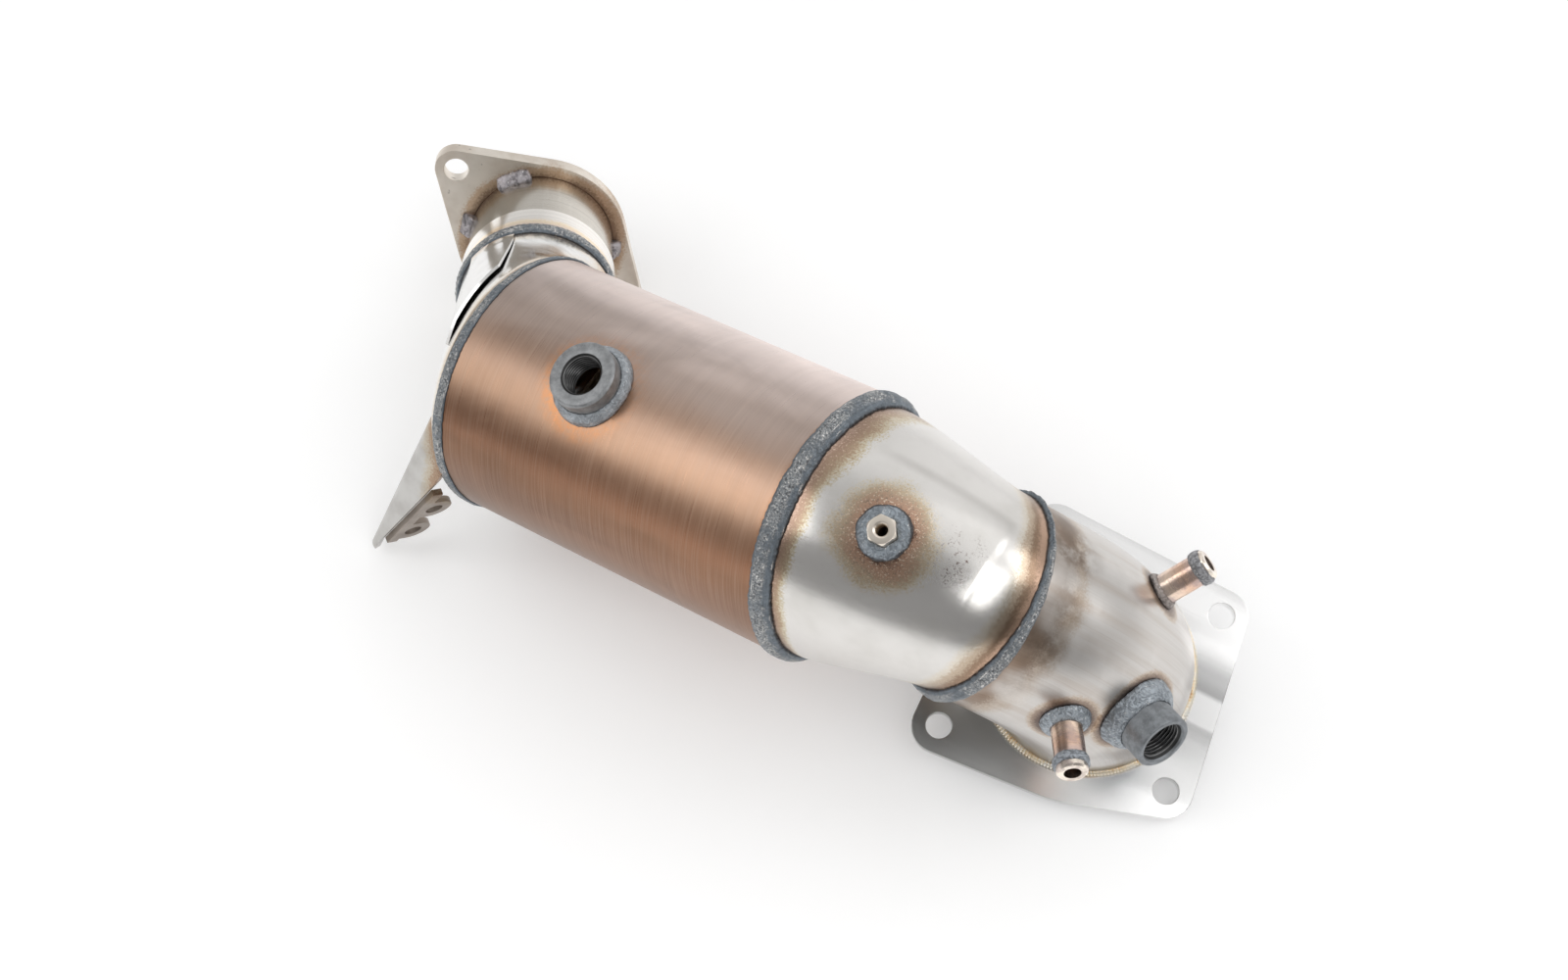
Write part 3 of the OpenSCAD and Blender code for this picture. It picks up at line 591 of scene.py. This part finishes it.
def matFinish():
    f = Finish("matFibre")
    fibre = f.fleck(900, 5, 0.75, 1.5)
    colour = f.mix(fibre, (0.58, 0.55, 0.48), (0.86, 0.84, 0.78))
    f.bump(fibre, 0.6, 0.0006)
    return f.metal(colour, 0.95, 0.0)


def brickFinish():
    f = Finish("brickCeramic")
    speck = f.fleck(700, 4, 0.7)
    colour = f.mix(speck, (0.34, 0.29, 0.23), (0.56, 0.5, 0.42))
    f.bump(speck, 0.4, 0.0004)
    return f.metal(colour, 0.9, 0.0)


finishes = {
    "canister": canisterFinish(), "cone": coneFinish(), "elbow": elbowFinish(), "plate": plateFinish(),
    "outletFlange": outletFlangeFinish(),
    "sleeve": ringedTube("sleeveBright", (0.98, 0.94, 0.89), atOut, 0.0,
                         ((0.46, 0.36, 0.33), (0.82, 0.71, 0.66), (0.98, 0.86, 0.68), clear), 0.012),
    "outletTube": ringedTube("outletTubeRinged", (0.66, 0.62, 0.56), atOut, -0.1, (clear, clear), 0.01,
                             roughness=0.2, rings=1400, bump=0.1),
    "cap": capFinish("capMirror"), "strap": capFinish("strapMirror"),
    "bracket": bracketFinish("bracketSheet", (0.56, 0.55, 0.53), (0.46, 0.44, 0.42)),
    "bracketLeg": bracketFinish("bracketLegTan", (0.36, 0.31, 0.27), (0.22, 0.185, 0.16)),
    "gold": goldFinish(), "mat": matFinish(), "brick": brickFinish(),
    "lambdaBoss": bossFinish("lambdaBossGrey", (0.225, 0.23, 0.235), atLambda),
    "elbowBoss": bossFinish("elbowBossGrey", (0.165, 0.175, 0.185), atElbowBoss, False),
    "hexagon": ringedTube("hexagonBright", (0.88, 0.8, 0.7), atHex, 0.0,
                          ((0.5, 0.42, 0.34), (0.9, 0.82, 0.7), clear), 0.004, roughness=0.3, rings=3000),
    "frontStub": stubFinish("frontStubCopper", atFrontStub),
    "sideStub": stubFinish("sideStubCopper", atSideStub),
    "tack": footFinish("tackScale", atOut, 90.0, (0.24, 0.225, 0.235), swirl=1.3, size=140),
}
print("materials made")


def smoothed(mesh, angle=35):
    # smooth shading with sharp edges kept
    for p in mesh.polygons:
        p.use_smooth = True
    mesh.set_sharp_from_angle(angle=math.radians(angle))
    return mesh


def linked(name, data):
    o = bpy.data.objects.new(name, data)
    bpy.context.scene.collection.objects.link(o)
    return o


def evaluated(o):
    # the plain mesh that an object's modifiers make; the modifiers go
    mesh = bpy.data.meshes.new_from_object(o.evaluated_get(bpy.context.evaluated_depsgraph_get()))
    o.modifiers.clear()
    return mesh


def baked(maker, name):
    mesh = evaluated(maker)
    mesh.name = name
    bpy.data.objects.remove(maker)
    return mesh


def piece(name, mesh, finish, slotName, *stands):
    o = linked(name, mesh)
    mesh.materials.clear()
    mesh.materials.append(finish)
    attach(o, "root")
    if stands:
        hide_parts(*stands)


def gridMesh(name, rows, place=None):
    # quads through equal rows of points; rows and the run of rows are closed rings
    m = bpy.data.meshes.new(name)
    n, count = len(rows[0]), len(rows)
    faces = []
    for k in range(count):
        for i in range(n):
            a, b = k * n + i, k * n + (i + 1) % n
            c, d = ((k + 1) % count) * n + (i + 1) % n, ((k + 1) % count) * n + i
            faces.append((a, b, c, d))
    m.from_pydata([p for r in rows for p in r], [], faces)
    if place:
        m.transform(place)
    return m


def shellRows(e, rings=40, around=192):
    # rows down the outside of a pressed shell and back up its inside
    angles = [360 * i / around for i in range(around)]

    def ring(i, shift, thin):
        return [spoke(e[i] + shift * e[i + 2], e[i + 1], e[i + 2], e[i + 3] - thin, a) for a in angles]
    outer = [ring(0, -collar, 0)]
    outer += [[skin(e, a, k / rings) for a in angles] for k in range(rings + 1)]
    outer += [ring(4, collar, 0)]
    inner = [ring(4, collar, wall), ring(4, 0, wall)]
    inner += [[skin(e, a, k / rings) - wall * skinNormal(e, a, k / rings) for a in angles]
              for k in range(rings - 1, 0, -1)]
    return outer + inner + [ring(0, 0, wall), ring(0, -collar, wall)]


def cutRound(o, place, radius, depth=0.012):
    # a clean round hole through one wall
    bpy.ops.mesh.primitive_cylinder_add(vertices=48, radius=radius, depth=2 * depth)
    cutter = bpy.context.object
    cutter.data.transform(place)
    m = o.modifiers.new("hole", "BOOLEAN")
    m.operation, m.object, m.solver = "DIFFERENCE", cutter, "EXACT"
    o.data = evaluated(o)
    bpy.data.objects.remove(cutter)


def turned(name, rows, place, finish, slotName, node, turns=96):
    # a turned piece from rows of (radius, z), or of functions of the angle that give them
    rings = []
    for row in rows:
        ring = []
        for i in range(turns):
            a = 2 * math.pi * i / turns
            r, z = row(a) if callable(row) else row
            ring.append(Vector((r * mm * math.cos(a), r * mm * math.sin(a), z * mm)))
        rings.append(ring)
    piece(name, smoothed(gridMesh(name, rings, place), 28), finishes[finish], slotName, node)


def threadRows(size, low, high, steps=8):
    # rows down a bore whose wall is a 60 degree thread
    minor, major, pitch = size["minor"], size["major"], size["pitch"]

    def at(z):
        def row(a):
            t = (z / pitch - a / (2 * math.pi)) % 1
            ease = min(1, (z - low) / pitch, (high - z) / pitch)
            return minor + (major - minor) * (1 - abs(2 * t - 1)) * max(0, ease), z
        return row
    count = max(2, int((high - low) / pitch * steps))
    return [at(high + (low - high) * k / count) for k in range(count + 1)]


def saddleFoot(radius, across, below):
    # a row that follows the cylinder that a boss stands on
    def row(a):
        s = radius * math.sin(a)
        return radius, -(across - math.sqrt(across * across - s * s)) - below
    return row


def lambdaBossPiece():
    size = {"radius": 14.47, "height": 10.98, "minor": 8.19, "major": 9.05, "pitch": 1.5}
    r, h, bore = size["radius"], size["height"], size["minor"]
    rows = [saddleFoot(r, can["radius"], 0.6), (r, h - 1.0), (r - 0.25, h - 0.62), (r - 0.9, h - 0.08),
            (r - 1.1, h), (bore + 1.25, h), (bore + 1.05, h - 0.06), (bore + 0.1, h - 1.1)]
    turned("lambdaBossTurned", rows + threadRows(size, -1.2, h - 1.2), atLambda, "lambdaBoss", "boss",
           "lambda_boss")


def elbowBossPiece():
    size = {"radius": 12, "height": 17, "minor": 8.19, "major": 9.05, "pitch": 1.5}
    r, h, bore = size["radius"], size["height"], size["minor"]
    rows = [saddleFoot(r, pipe["radius"], 0.5), (r, h - 0.8), (r - 0.2, h - 0.4), (r - 0.7, h),
            (bore + 1.7, h), (bore + 1.5, h - 0.1), (bore + 0.1, h - 2.2)]
    turned("elbowBossTurned", rows + threadRows(size, -1.2, h - 2.3), atElbowBoss, "elbowBoss", "boss",
           "elbow_boss")


def hexBossPiece():
    size = {"flats": 11, "height": 7, "minor": 2.5, "major": 3.0, "pitch": 1.0, "chamfer": 0.7,
            "corner": 1.115}
    across, h, bore = size["flats"] / 2, size["height"], size["minor"]

    def hexagon(z, limit=across * size["corner"]):
        def row(a):
            t = (a + math.pi / 6) % (math.pi / 3) - math.pi / 6
            return min(across / math.cos(t), limit), z
        return row
    rows = [hexagon(-1.2), hexagon(h - size["chamfer"]), hexagon(h - 0.45, across * 1.07),
            hexagon(h - 0.06, across), hexagon(h, across - 0.2), (bore + 0.8, h), (bore + 0.7, h - 0.06),
            (bore + 0.1, h - 0.5)]
    turned("hexBossTurned", rows + threadRows(size, -1.2, h - 0.6), atHex, "hexagon", "hexagon", "hex_boss")


def newTree(name, inputs):
    # an empty geometry tree: its graph and its named inputs
    t = bpy.data.node_groups.new(name, "GeometryNodeTree")
    t.interface.new_socket("Geometry", in_out="OUTPUT", socket_type="NodeSocketGeometry")
    for key, kind in inputs:
        t.interface.new_socket(key, in_out="INPUT", socket_type="NodeSocket" + kind)
    g = Graph(t)
    return g, {s.name: Wire(g, s) for s in t.nodes.new("NodeGroupInput").outputs}


def finished(g, result):
    g.feed(g.tree.nodes.new("NodeGroupOutput").inputs[0], result)
    return g.tree


def setTree(modifier, tree, inputs):
    modifier.node_group = tree
    for item in tree.interface.items_tree:
        if item.item_type == "SOCKET" and item.in_out == "INPUT" and item.name in inputs:
            modifier[item.identifier] = inputs[item.name]


def beadTree():
    # a ring of overlapping ripples: a half-round profile swept round a circle, then pushed out by scallops
    inputs = [(key, "Float") for key in ("Radius", "Half width", "Height", "Cone", "Ripple depth", "Scallop",
                                         "Roughness", "Wander", "Swell", "Swell at", "Groove", "Groove at")]
    inputs += [(key, "Int") for key in ("Ripples", "Steps", "Seed")] + [("Material", "Material")]
    g, value = newTree("rippledBead", inputs)
    circle, profile = [g.node("GeometryNodeCurvePrimitiveCircle", {"Resolution": n, "Radius": r})
                       for n, r in ((value["Steps"], value["Radius"]), (20, 1.0))]
    size = g.pack(value["Height"], value["Half width"], 1.0)
    squash = g.node("GeometryNodeTransform", {"Geometry": profile, "Scale": size})
    sweep = g.node("GeometryNodeCurveToMesh", {"Curve": circle, "Profile Curve": squash})
    where = g.node("GeometryNodeInputPosition")
    x, y, z = [Wire(g, s) for s in g.node("ShaderNodeSeparateXYZ", (where,)).socket.node.outputs]
    clockAngle = g.math("ARCTAN2", y, x)
    out = g.math("SQRT", x * x + y * y)
    side = z / value["Half width"]
    bow = side * side * value["Scallop"]
    shift = g.vector("ADD", where, g.pack(value["Seed"] * 0.37, 0.0, 0.0))
    # uneven pace: the ripples bunch and stretch a little
    pace = g.grain(shift, 45.0, 1.0)
    phase = clockAngle / (2 * math.pi) * value["Ripples"] + bow
    phase = phase + pace * (value["Wander"] * 2.0)
    ripple = g.math("POWER", g.math("SINE", g.math("FRACT", phase) * math.pi), 0.55)
    lumps = g.grain(shift, 340.0, 3.0, 0.6)
    edge = g.grain(shift, 90.0, 2.0)
    lift = (ripple - 0.6) * value["Ripple depth"] + (lumps - 0.5) * value["Roughness"]
    lift = lift + (edge - 0.5) * value["Wander"]
    # a groove along the bead that wanders from side to side
    off = (side - (value["Groove at"] + (edge - 0.5) * 0.9)) / 0.16
    dip = g.math("DIVIDE", 1.0, 1.0 + off * off)
    lift = lift - dip * value["Groove"]
    # the bead is wider at one side of the ring
    wide = g.math("COSINE", clockAngle - value["Swell at"]) * value["Swell"]
    lift = lift + wide * (value["Height"] * 0.5)
    push = g.vector("SCALE", g.node("GeometryNodeInputNormal"), lift)
    slope = value["Cone"] * z / out
    lean = g.pack(slope * x, slope * y, wide * z)
    move = g.node("GeometryNodeSetPosition", {"Geometry": sweep, "Offset": g.vector("ADD", push, lean)})
    real = g.node("GeometryNodeRealizeInstances", (move,))
    return finished(g, g.node("GeometryNodeSetMaterial", {"Geometry": real, "Material": value["Material"]}))


def grown(name, tree, inputs, place):
    # runs a tree on an empty mesh and returns the plain mesh it makes
    holder = linked(name + "Maker", bpy.data.meshes.new(name + "Maker"))
    setTree(holder.modifiers.new("nodes", "NODES"), tree, inputs)
    bpy.context.view_layer.update()
    mesh = baked(holder, name)
    mesh.transform(place)
    return mesh


def outward(mesh):
    b = bmesh.new()
    b.from_mesh(mesh)
    bmesh.ops.remove_doubles(b, verts=b.verts, dist=1e-7)
    bmesh.ops.recalc_face_normals(b, faces=b.faces)
    b.to_mesh(mesh)
    b.free()
    return mesh


# the tree's inputs, in millimetres and degrees; what a bead leaves out is as in plainBead
plainBead = {"Cone": 0.0, "Scallop": 1.4, "Swell": 0.0, "Swell at": 0, "Groove": 0.0, "Groove at": 0.0,
             "Steps": 960, "slot": "weld"}
lengths = ("Radius", "Half width", "Height", "Ripple depth", "Roughness", "Wander", "Groove")
beads = {
    "neckBead": {"place": atNeck, "node": "neck_weld", "Radius": 43.2, "Half width": 2.5, "Height": 2.5,
                 "Ripples": 70, "Ripple depth": 0.25, "Roughness": 1.0, "Wander": 1.4, "Swell": 0.42,
                 "Swell at": -100, "Groove": 0.55, "Groove at": 0.3, "Seed": 3},
    "coneBead": {"place": atCan, "node": "cone_weld", "Radius": 55.6, "Half width": 4.1, "Height": 2.75,
                 "Ripples": 110, "Ripple depth": 0.25, "Roughness": 1.1, "Wander": 1.3, "Cone": 0.35,
                 "Swell": 0.05, "Groove": 0.6, "Groove at": -0.62, "Seed": 7},
    "endBead": {"place": atCanEnd @ Matrix.Translation((0, 0, 1.9 * mm)), "node": "end_cap_weld",
                "Radius": 57.15, "Half width": 1.75, "Height": 1.0, "Ripples": 150, "Ripple depth": 0.2,
                "Roughness": 0.7, "Wander": 0.8, "Swell": 0.4, "Swell at": -60, "Groove": 0.2,
                "Groove at": 0.2, "Seed": 11},
    "outletBead": {"place": atOut, "node": "outlet_weld", "Radius": 34.7, "Half width": 3.0, "Height": 1.8,
                   "Ripples": 80, "Ripple depth": 0.2, "Roughness": 0.65, "Wander": 0.7, "Cone": 0.1,
                   "Swell": 0.05, "Groove": 0.25, "Groove at": 0.5, "Seed": 17},
    "footBead": {"place": Matrix.Translation((0, 0, (pipe["plate"] + 0.6) * mm)), "node": "inlet_weld",
                 "slot": "tig_bead", "finish": "gold", "Radius": 43.9, "Half width": 1.9, "Height": 1.9,
                 "Ripples": 200, "Ripple depth": 1.3, "Scallop": 0.35, "Roughness": 0.12, "Wander": 0.1,
                 "Steps": 2400, "Seed": 23},
}
bead = beadTree()
for name, values in beads.items():
    b = {key: v * mm if key in lengths else v for key, v in {**plainBead, **values}.items()}
    b["Swell at"] = math.radians(b["Swell at"])
    if "finish" in b:
        finish = finishes[b["finish"]]
    else:
        finish = weldFinish(name + "Scale", b["place"], b["Radius"], b["Height"], b["Cone"])
    mesh = grown(name, bead, {**b, "Material": finish}, b["place"])
    piece(name, smoothed(outward(mesh), 60), finish, b["slot"], b["node"])
print("girth beads grown")

for name, ends, finish, node in (("coneShell", coneEnds, "cone", "transition_cone"),
                                 ("capShell", capEnds, "cap", "end_cap")):
    piece(name, smoothed(outward(gridMesh(name, shellRows(ends))), 30), finishes[finish], finish, node)
cutRound(bpy.data.objects["coneShell"], atHex, bosses["hexHole"] * mm)
lambdaBossPiece()
elbowBossPiece()
hexBossPiece()
print("shells and bosses made")


def lumpy(name, node, finish, slotName, voxel, depth, size, seed, melt, swell=0.0):
    # a weld fillet from its solid: remeshed, then melted out of round
    o = linked(name + "Maker", nodes[node].data.copy())
    m = o.modifiers.new("remesh", "REMESH")
    m.mode, m.voxel_size = "VOXEL", voxel * mm
    o.modifiers.new("soft", "SMOOTH").iterations = melt
    mesh = baked(o, name)
    shift = Vector((seed * 1.7, seed * 0.9, 0))
    moves = []
    for v in mesh.vertices:
        p = v.co * size + shift
        k = noise.noise(p) * 0.6 + noise.noise(p * 2.7) * 0.3 + noise.noise(p * 0.4) * 0.5
        moves.append(v.co + v.normal * ((k * depth + swell) * mm))
    for v, p in zip(mesh.vertices, moves):
        v.co = p
    piece(name, smoothed(mesh, 80), finish, slotName, node)


# node, slot, place, radius of the dark edge, voxel, lump depth and lump scale, melting rounds, tone, swirl
feet = {
    "lambdaBossBead": ("lambda_boss_weld", "weld", atLambda, 18.6, 0.5, 0.35, 130, 3,
                       (0.34, 0.365, 0.39), 0.35),
    "elbowBossBead": ("elbow_boss_weld", "weld", atElbowBoss, 17.6, 0.5, 0.6, 190, 2,
                      (0.26, 0.285, 0.31), 0.7),
    "frontStubBead": ("front_stub_weld", "weld", atFrontStub, 11.2, 0.35, 0.5, 260, 2,
                      (0.26, 0.285, 0.31), 0.9),
    "sideStubBead": ("side_stub_weld", "weld", atSideStub, 8.6, 0.3, 0.4, 300, 2, (0.26, 0.23, 0.215), 0.7),
    "hexBossBead": ("hex_boss_weld", "weld", atHex, 10.9, 0.35, 1.3, 130, 2, (0.25, 0.28, 0.31), 0.6),
    "frontStubCollar": ("front_stub_collar", "braze", atFrontStub, 90.0, 0.28, 0.4, 420, 0,
                        (0.26, 0.28, 0.305), 0.9),
    "sideStubCollar": ("side_stub_collar", "braze", atSideStub, 90.0, 0.28, 0.55, 380, 0,
                       (0.25, 0.25, 0.26), 0.9),
}
for i, (name, row) in enumerate(feet.items()):
    node, slotName, place, reach, voxel, depth, size, melt, tone, swirl = row
    finish = footFinish(name + "Scale", place, reach, tone, swirl)
    lumpy(name, node, finish, slotName, voxel, depth, size, i + 1, melt)
lumpy("flangeTacks", "outlet_tacks", finishes["tack"], "tack", voxel=0.4, depth=0.9, size=230, seed=8, melt=4,
      swell=0.75)
print("fillets melted")


def strapPiece():
    # the loose lap of sheet: a smooth version of the solid's
    size = {"thick": 1.2, "gap": 1.4, "clear": 0.25, "first": -2, "low": 0.24, "rise": 0.045,
            "levels": (0.5, 0.625, 0.75, 0.875, 1), "columns": 24, "rows": 28}
    columns, rowsDown = size["columns"], size["rows"]

    def lifted(u, v, up):
        i, j = size["first"] + 5 * u, v * 5
        k = min(int(j), 4)
        levels = (size["low"] + size["rise"] * (i + 1), *size["levels"])
        s = levels[k] + (levels[k + 1] - levels[k]) * (j - k)
        a = 360 * i / 48
        height = size["clear"] * mm + size["gap"] * mm * (1 - s)
        if j > 4:
            height *= 5 - j
        height *= min(1, 4 * u)
        return skin(capEnds, a, s) + skinNormal(capEnds, a, s) * (height + up)
    verts = [lifted(c / columns, r / rowsDown, up) for up in (0, size["thick"] * mm)
             for r in range(rowsDown + 1) for c in range(columns + 1)]
    w, half = columns + 1, (columns + 1) * (rowsDown + 1)
    faces = []
    for r in range(rowsDown):
        for c in range(columns):
            a = r * w + c
            faces += [(a, a + 1, a + w + 1, a + w), (half + a, half + a + w, half + a + w + 1, half + a + 1)]
    for c in range(columns):
        for a in (c, rowsDown * w + c):
            faces.append((a, half + a, half + a + 1, a + 1))
    for r in range(rowsDown):
        for a in (r * w, r * w + columns):
            faces.append((a, a + w, half + a + w, half + a))
    m = bpy.data.meshes.new("capStrap")
    m.from_pydata(verts, [], faces)
    piece("capStrap", smoothed(outward(m), 40), finishes["strap"], "strap", "cap_strap")


strapPiece()


def cleanTree():
    # drops the solids' own normals, joins their corners and sets the sharp edges anew
    g, value = newTree("cleanShading", [("Geometry", "Geometry"), ("Sharp angle", "Float")])
    bare = g.node("GeometryNodeRemoveAttribute", {0: value["Geometry"], "Name": "custom_normal"})
    merged = g.node("GeometryNodeMergeByDistance", {0: bare, "Distance": 2e-6})
    soft = g.node("GeometryNodeSetShadeSmooth", {"Geometry": merged})
    sharp = g.node("FunctionNodeCompare", (g.node("GeometryNodeInputMeshEdgeAngle"), value["Sharp angle"]),
                   data_type="FLOAT", operation="GREATER_THAN")
    return finished(g, g.node("GeometryNodeSetShadeSmooth", {"Geometry": soft, "Selection": sharp,
                                                             "Shade Smooth": False}, domain="EDGE"))


# the solids that stay: finish, and the width of their broken edges in millimetres
kept = {"inlet_flange": ("plate", 0.35), "inlet_elbow": ("elbow", 0), "inlet_start": ("elbow", 0),
        "neck_run": ("elbow", 0), "front_stub": ("frontStub", 0.25), "side_stub": ("sideStub", 0.25),
        "canister_shell": ("canister", 0), "support_mat": ("mat", 0), "catalyst_brick": ("brick", 0),
        "outlet_sleeve": ("sleeve", 0.15), "outlet_pipe": ("outletTube", 0.2),
        "outlet_flange": ("outletFlange", 0.4), "bracket_plate": ("bracket", 0.3),
        "bracket_ears": ("bracketLeg", 0.3)}
edges = {"sharp": 30, "flat": 0.3, "bevelled": 40}
clean = cleanTree()
for node, (finish, edge) in kept.items():
    o = nodes[node]
    o.data.materials.clear()
    o.data.materials.append(finishes[finish])
    setTree(o.modifiers.new("clean", "NODES"), clean, {"Sharp angle": math.radians(edges["sharp"])})
    if edge:
        flat = o.modifiers.new("flat", "DECIMATE")
        flat.decimate_type, flat.angle_limit = "DISSOLVE", math.radians(edges["flat"])
        v = o.modifiers.new("edge", "BEVEL")
        v.width, v.segments, v.limit_method = edge * mm, 2, "ANGLE"
        v.angle_limit, v.harden_normals = math.radians(edges["bevelled"]), True
print("solids dressed")

# lamps: azimuth, elevation, width, height, watts; glows: what mirrors see of the room, by direction,
# as azimuth, elevation, where it starts, where it is full, how bright
studio = {"tableNormal": (-0.148, 0.308, 0.939), "tableDrop": -24.6, "tableMiddle": (-0.15, 0.02, 0),
          "tableHalf": 4.0, "white": 0.93, "glow": 0.13, "front": (0.414, -0.844, 0.342),
          "target": (-0.13, 0.03, 0.04), "away": 1.3, "world": 0.99, "room": 0.25,
          "lamps": {"leftBox": (90, 38, 0.75, 0.75, 2.9), "rightBox": (-25, 54, 0.92, 0.28, 2.0),
                    "rimBox": (-83, 38, 0.62, 0.62, 1.9)},
          "glows": ((180, 10, 0.35, 0.95, 0.55), (-105, 8, 0.25, 0.92, 0.58), (150, 66, 0.6, 0.98, 0.45),
                    (44, 12, 0.55, 0.95, 0.13), (-100, 66, 0.885, 0.945, 0.6))}
tableUp = unit(studio["tableNormal"])
front = Vector(studio["front"])
front = unit(front - tableUp * front.dot(tableUp))
leftward = tableUp.cross(-front)


def toward(azimuth, elevation):
    a, e = math.radians(azimuth), math.radians(elevation)
    return math.cos(e) * (math.cos(a) * front + math.sin(a) * leftward) + math.sin(e) * tableUp


def floorPiece():
    m = bpy.data.meshes.new("floor")
    middle = Vector(studio["tableMiddle"])
    centre = middle - tableUp * (middle.dot(tableUp) - studio["tableDrop"] * mm)
    corners = [centre + studio["tableHalf"] * (i * front + j * leftward)
               for i, j in ((-1, -1), (1, -1), (1, 1), (-1, 1))]
    m.from_pydata(corners, [], [(0, 1, 2, 3)])
    o = linked("floor", m)
    mat = bpy.data.materials.new("floorWhite")
    mat.use_nodes = True
    inputs = mat.node_tree.nodes["Principled BSDF"].inputs
    for key, value in {"Base Color": (*[studio["white"]] * 3, 1), "Roughness": 0.7, "Specular IOR Level": 0.1,
                       "Emission Color": (1, 1, 1, 1), "Emission Strength": studio["glow"]}.items():
        inputs[key].default_value = value
    m.materials.append(mat)


def softbox(name, azimuth, elevation, wide, tall, power):
    data = bpy.data.lights.new(name, "AREA")
    data.shape, data.size, data.size_y, data.energy = "RECTANGLE", wide, tall, power
    o = linked(name, data)
    d = toward(azimuth, elevation)
    o.location = Vector(studio["target"]) + d * studio["away"]
    o.rotation_mode = "QUATERNION"
    o.rotation_quaternion = d.to_track_quat("Z", "Y")


def worldLight():
    # white for the camera, even for diffuse light, and a room with bright sides for mirrors
    w = bpy.data.worlds.new("studio")
    bpy.context.scene.world = w
    w.use_nodes = True
    g = Graph(w.node_tree)
    g.tree.nodes.clear()
    where = g.node("ShaderNodeTexCoord", out="Generated")
    room = studio["room"]
    for azimuth, elevation, low, high, gain in studio["glows"]:
        facing = g.dot(where, toward(azimuth, elevation))
        room = room + g.spread(facing, low, high, 0.0, gain)
    mirror, plain, white = [g.node("ShaderNodeBackground", {"Strength": s})
                            for s in (room, studio["world"], 1.0)]
    path = g.node("ShaderNodeLightPath").socket.node.outputs
    seen = g.node("ShaderNodeMixShader", (Wire(g, path["Is Glossy Ray"]), plain, mirror))
    seen = g.node("ShaderNodeMixShader", (Wire(g, path["Is Camera Ray"]), seen, white))
    g.feed(g.tree.nodes.new("ShaderNodeOutputWorld").inputs[0], seen)


floorPiece()
for name, values in studio["lamps"].items():
    softbox(name, *values)
worldLight()

# the camera fitted to the photograph, in metres
view = {"lens": 58.5, "sensor": 36.0, "clip": 50.0, "at": (-0.03816, -0.19145, 1.06518),
        "right": (0.9273, 0.3739, -0.019), "up": (-0.3608, 0.9061, 0.221), "back": (0.0999, -0.1981, 0.9751)}
camera = bpy.data.cameras.new("camera")
camera.lens, camera.sensor_width, camera.clip_end = view["lens"], view["sensor"], view["clip"]
cameraObject = linked("camera", camera)
cameraObject.matrix_world = placed(view["at"], view["right"], view["up"], view["back"])
bpy.context.scene.camera = cameraObject
bpy.context.scene.view_settings.view_transform = "Standard"
print("studio set")
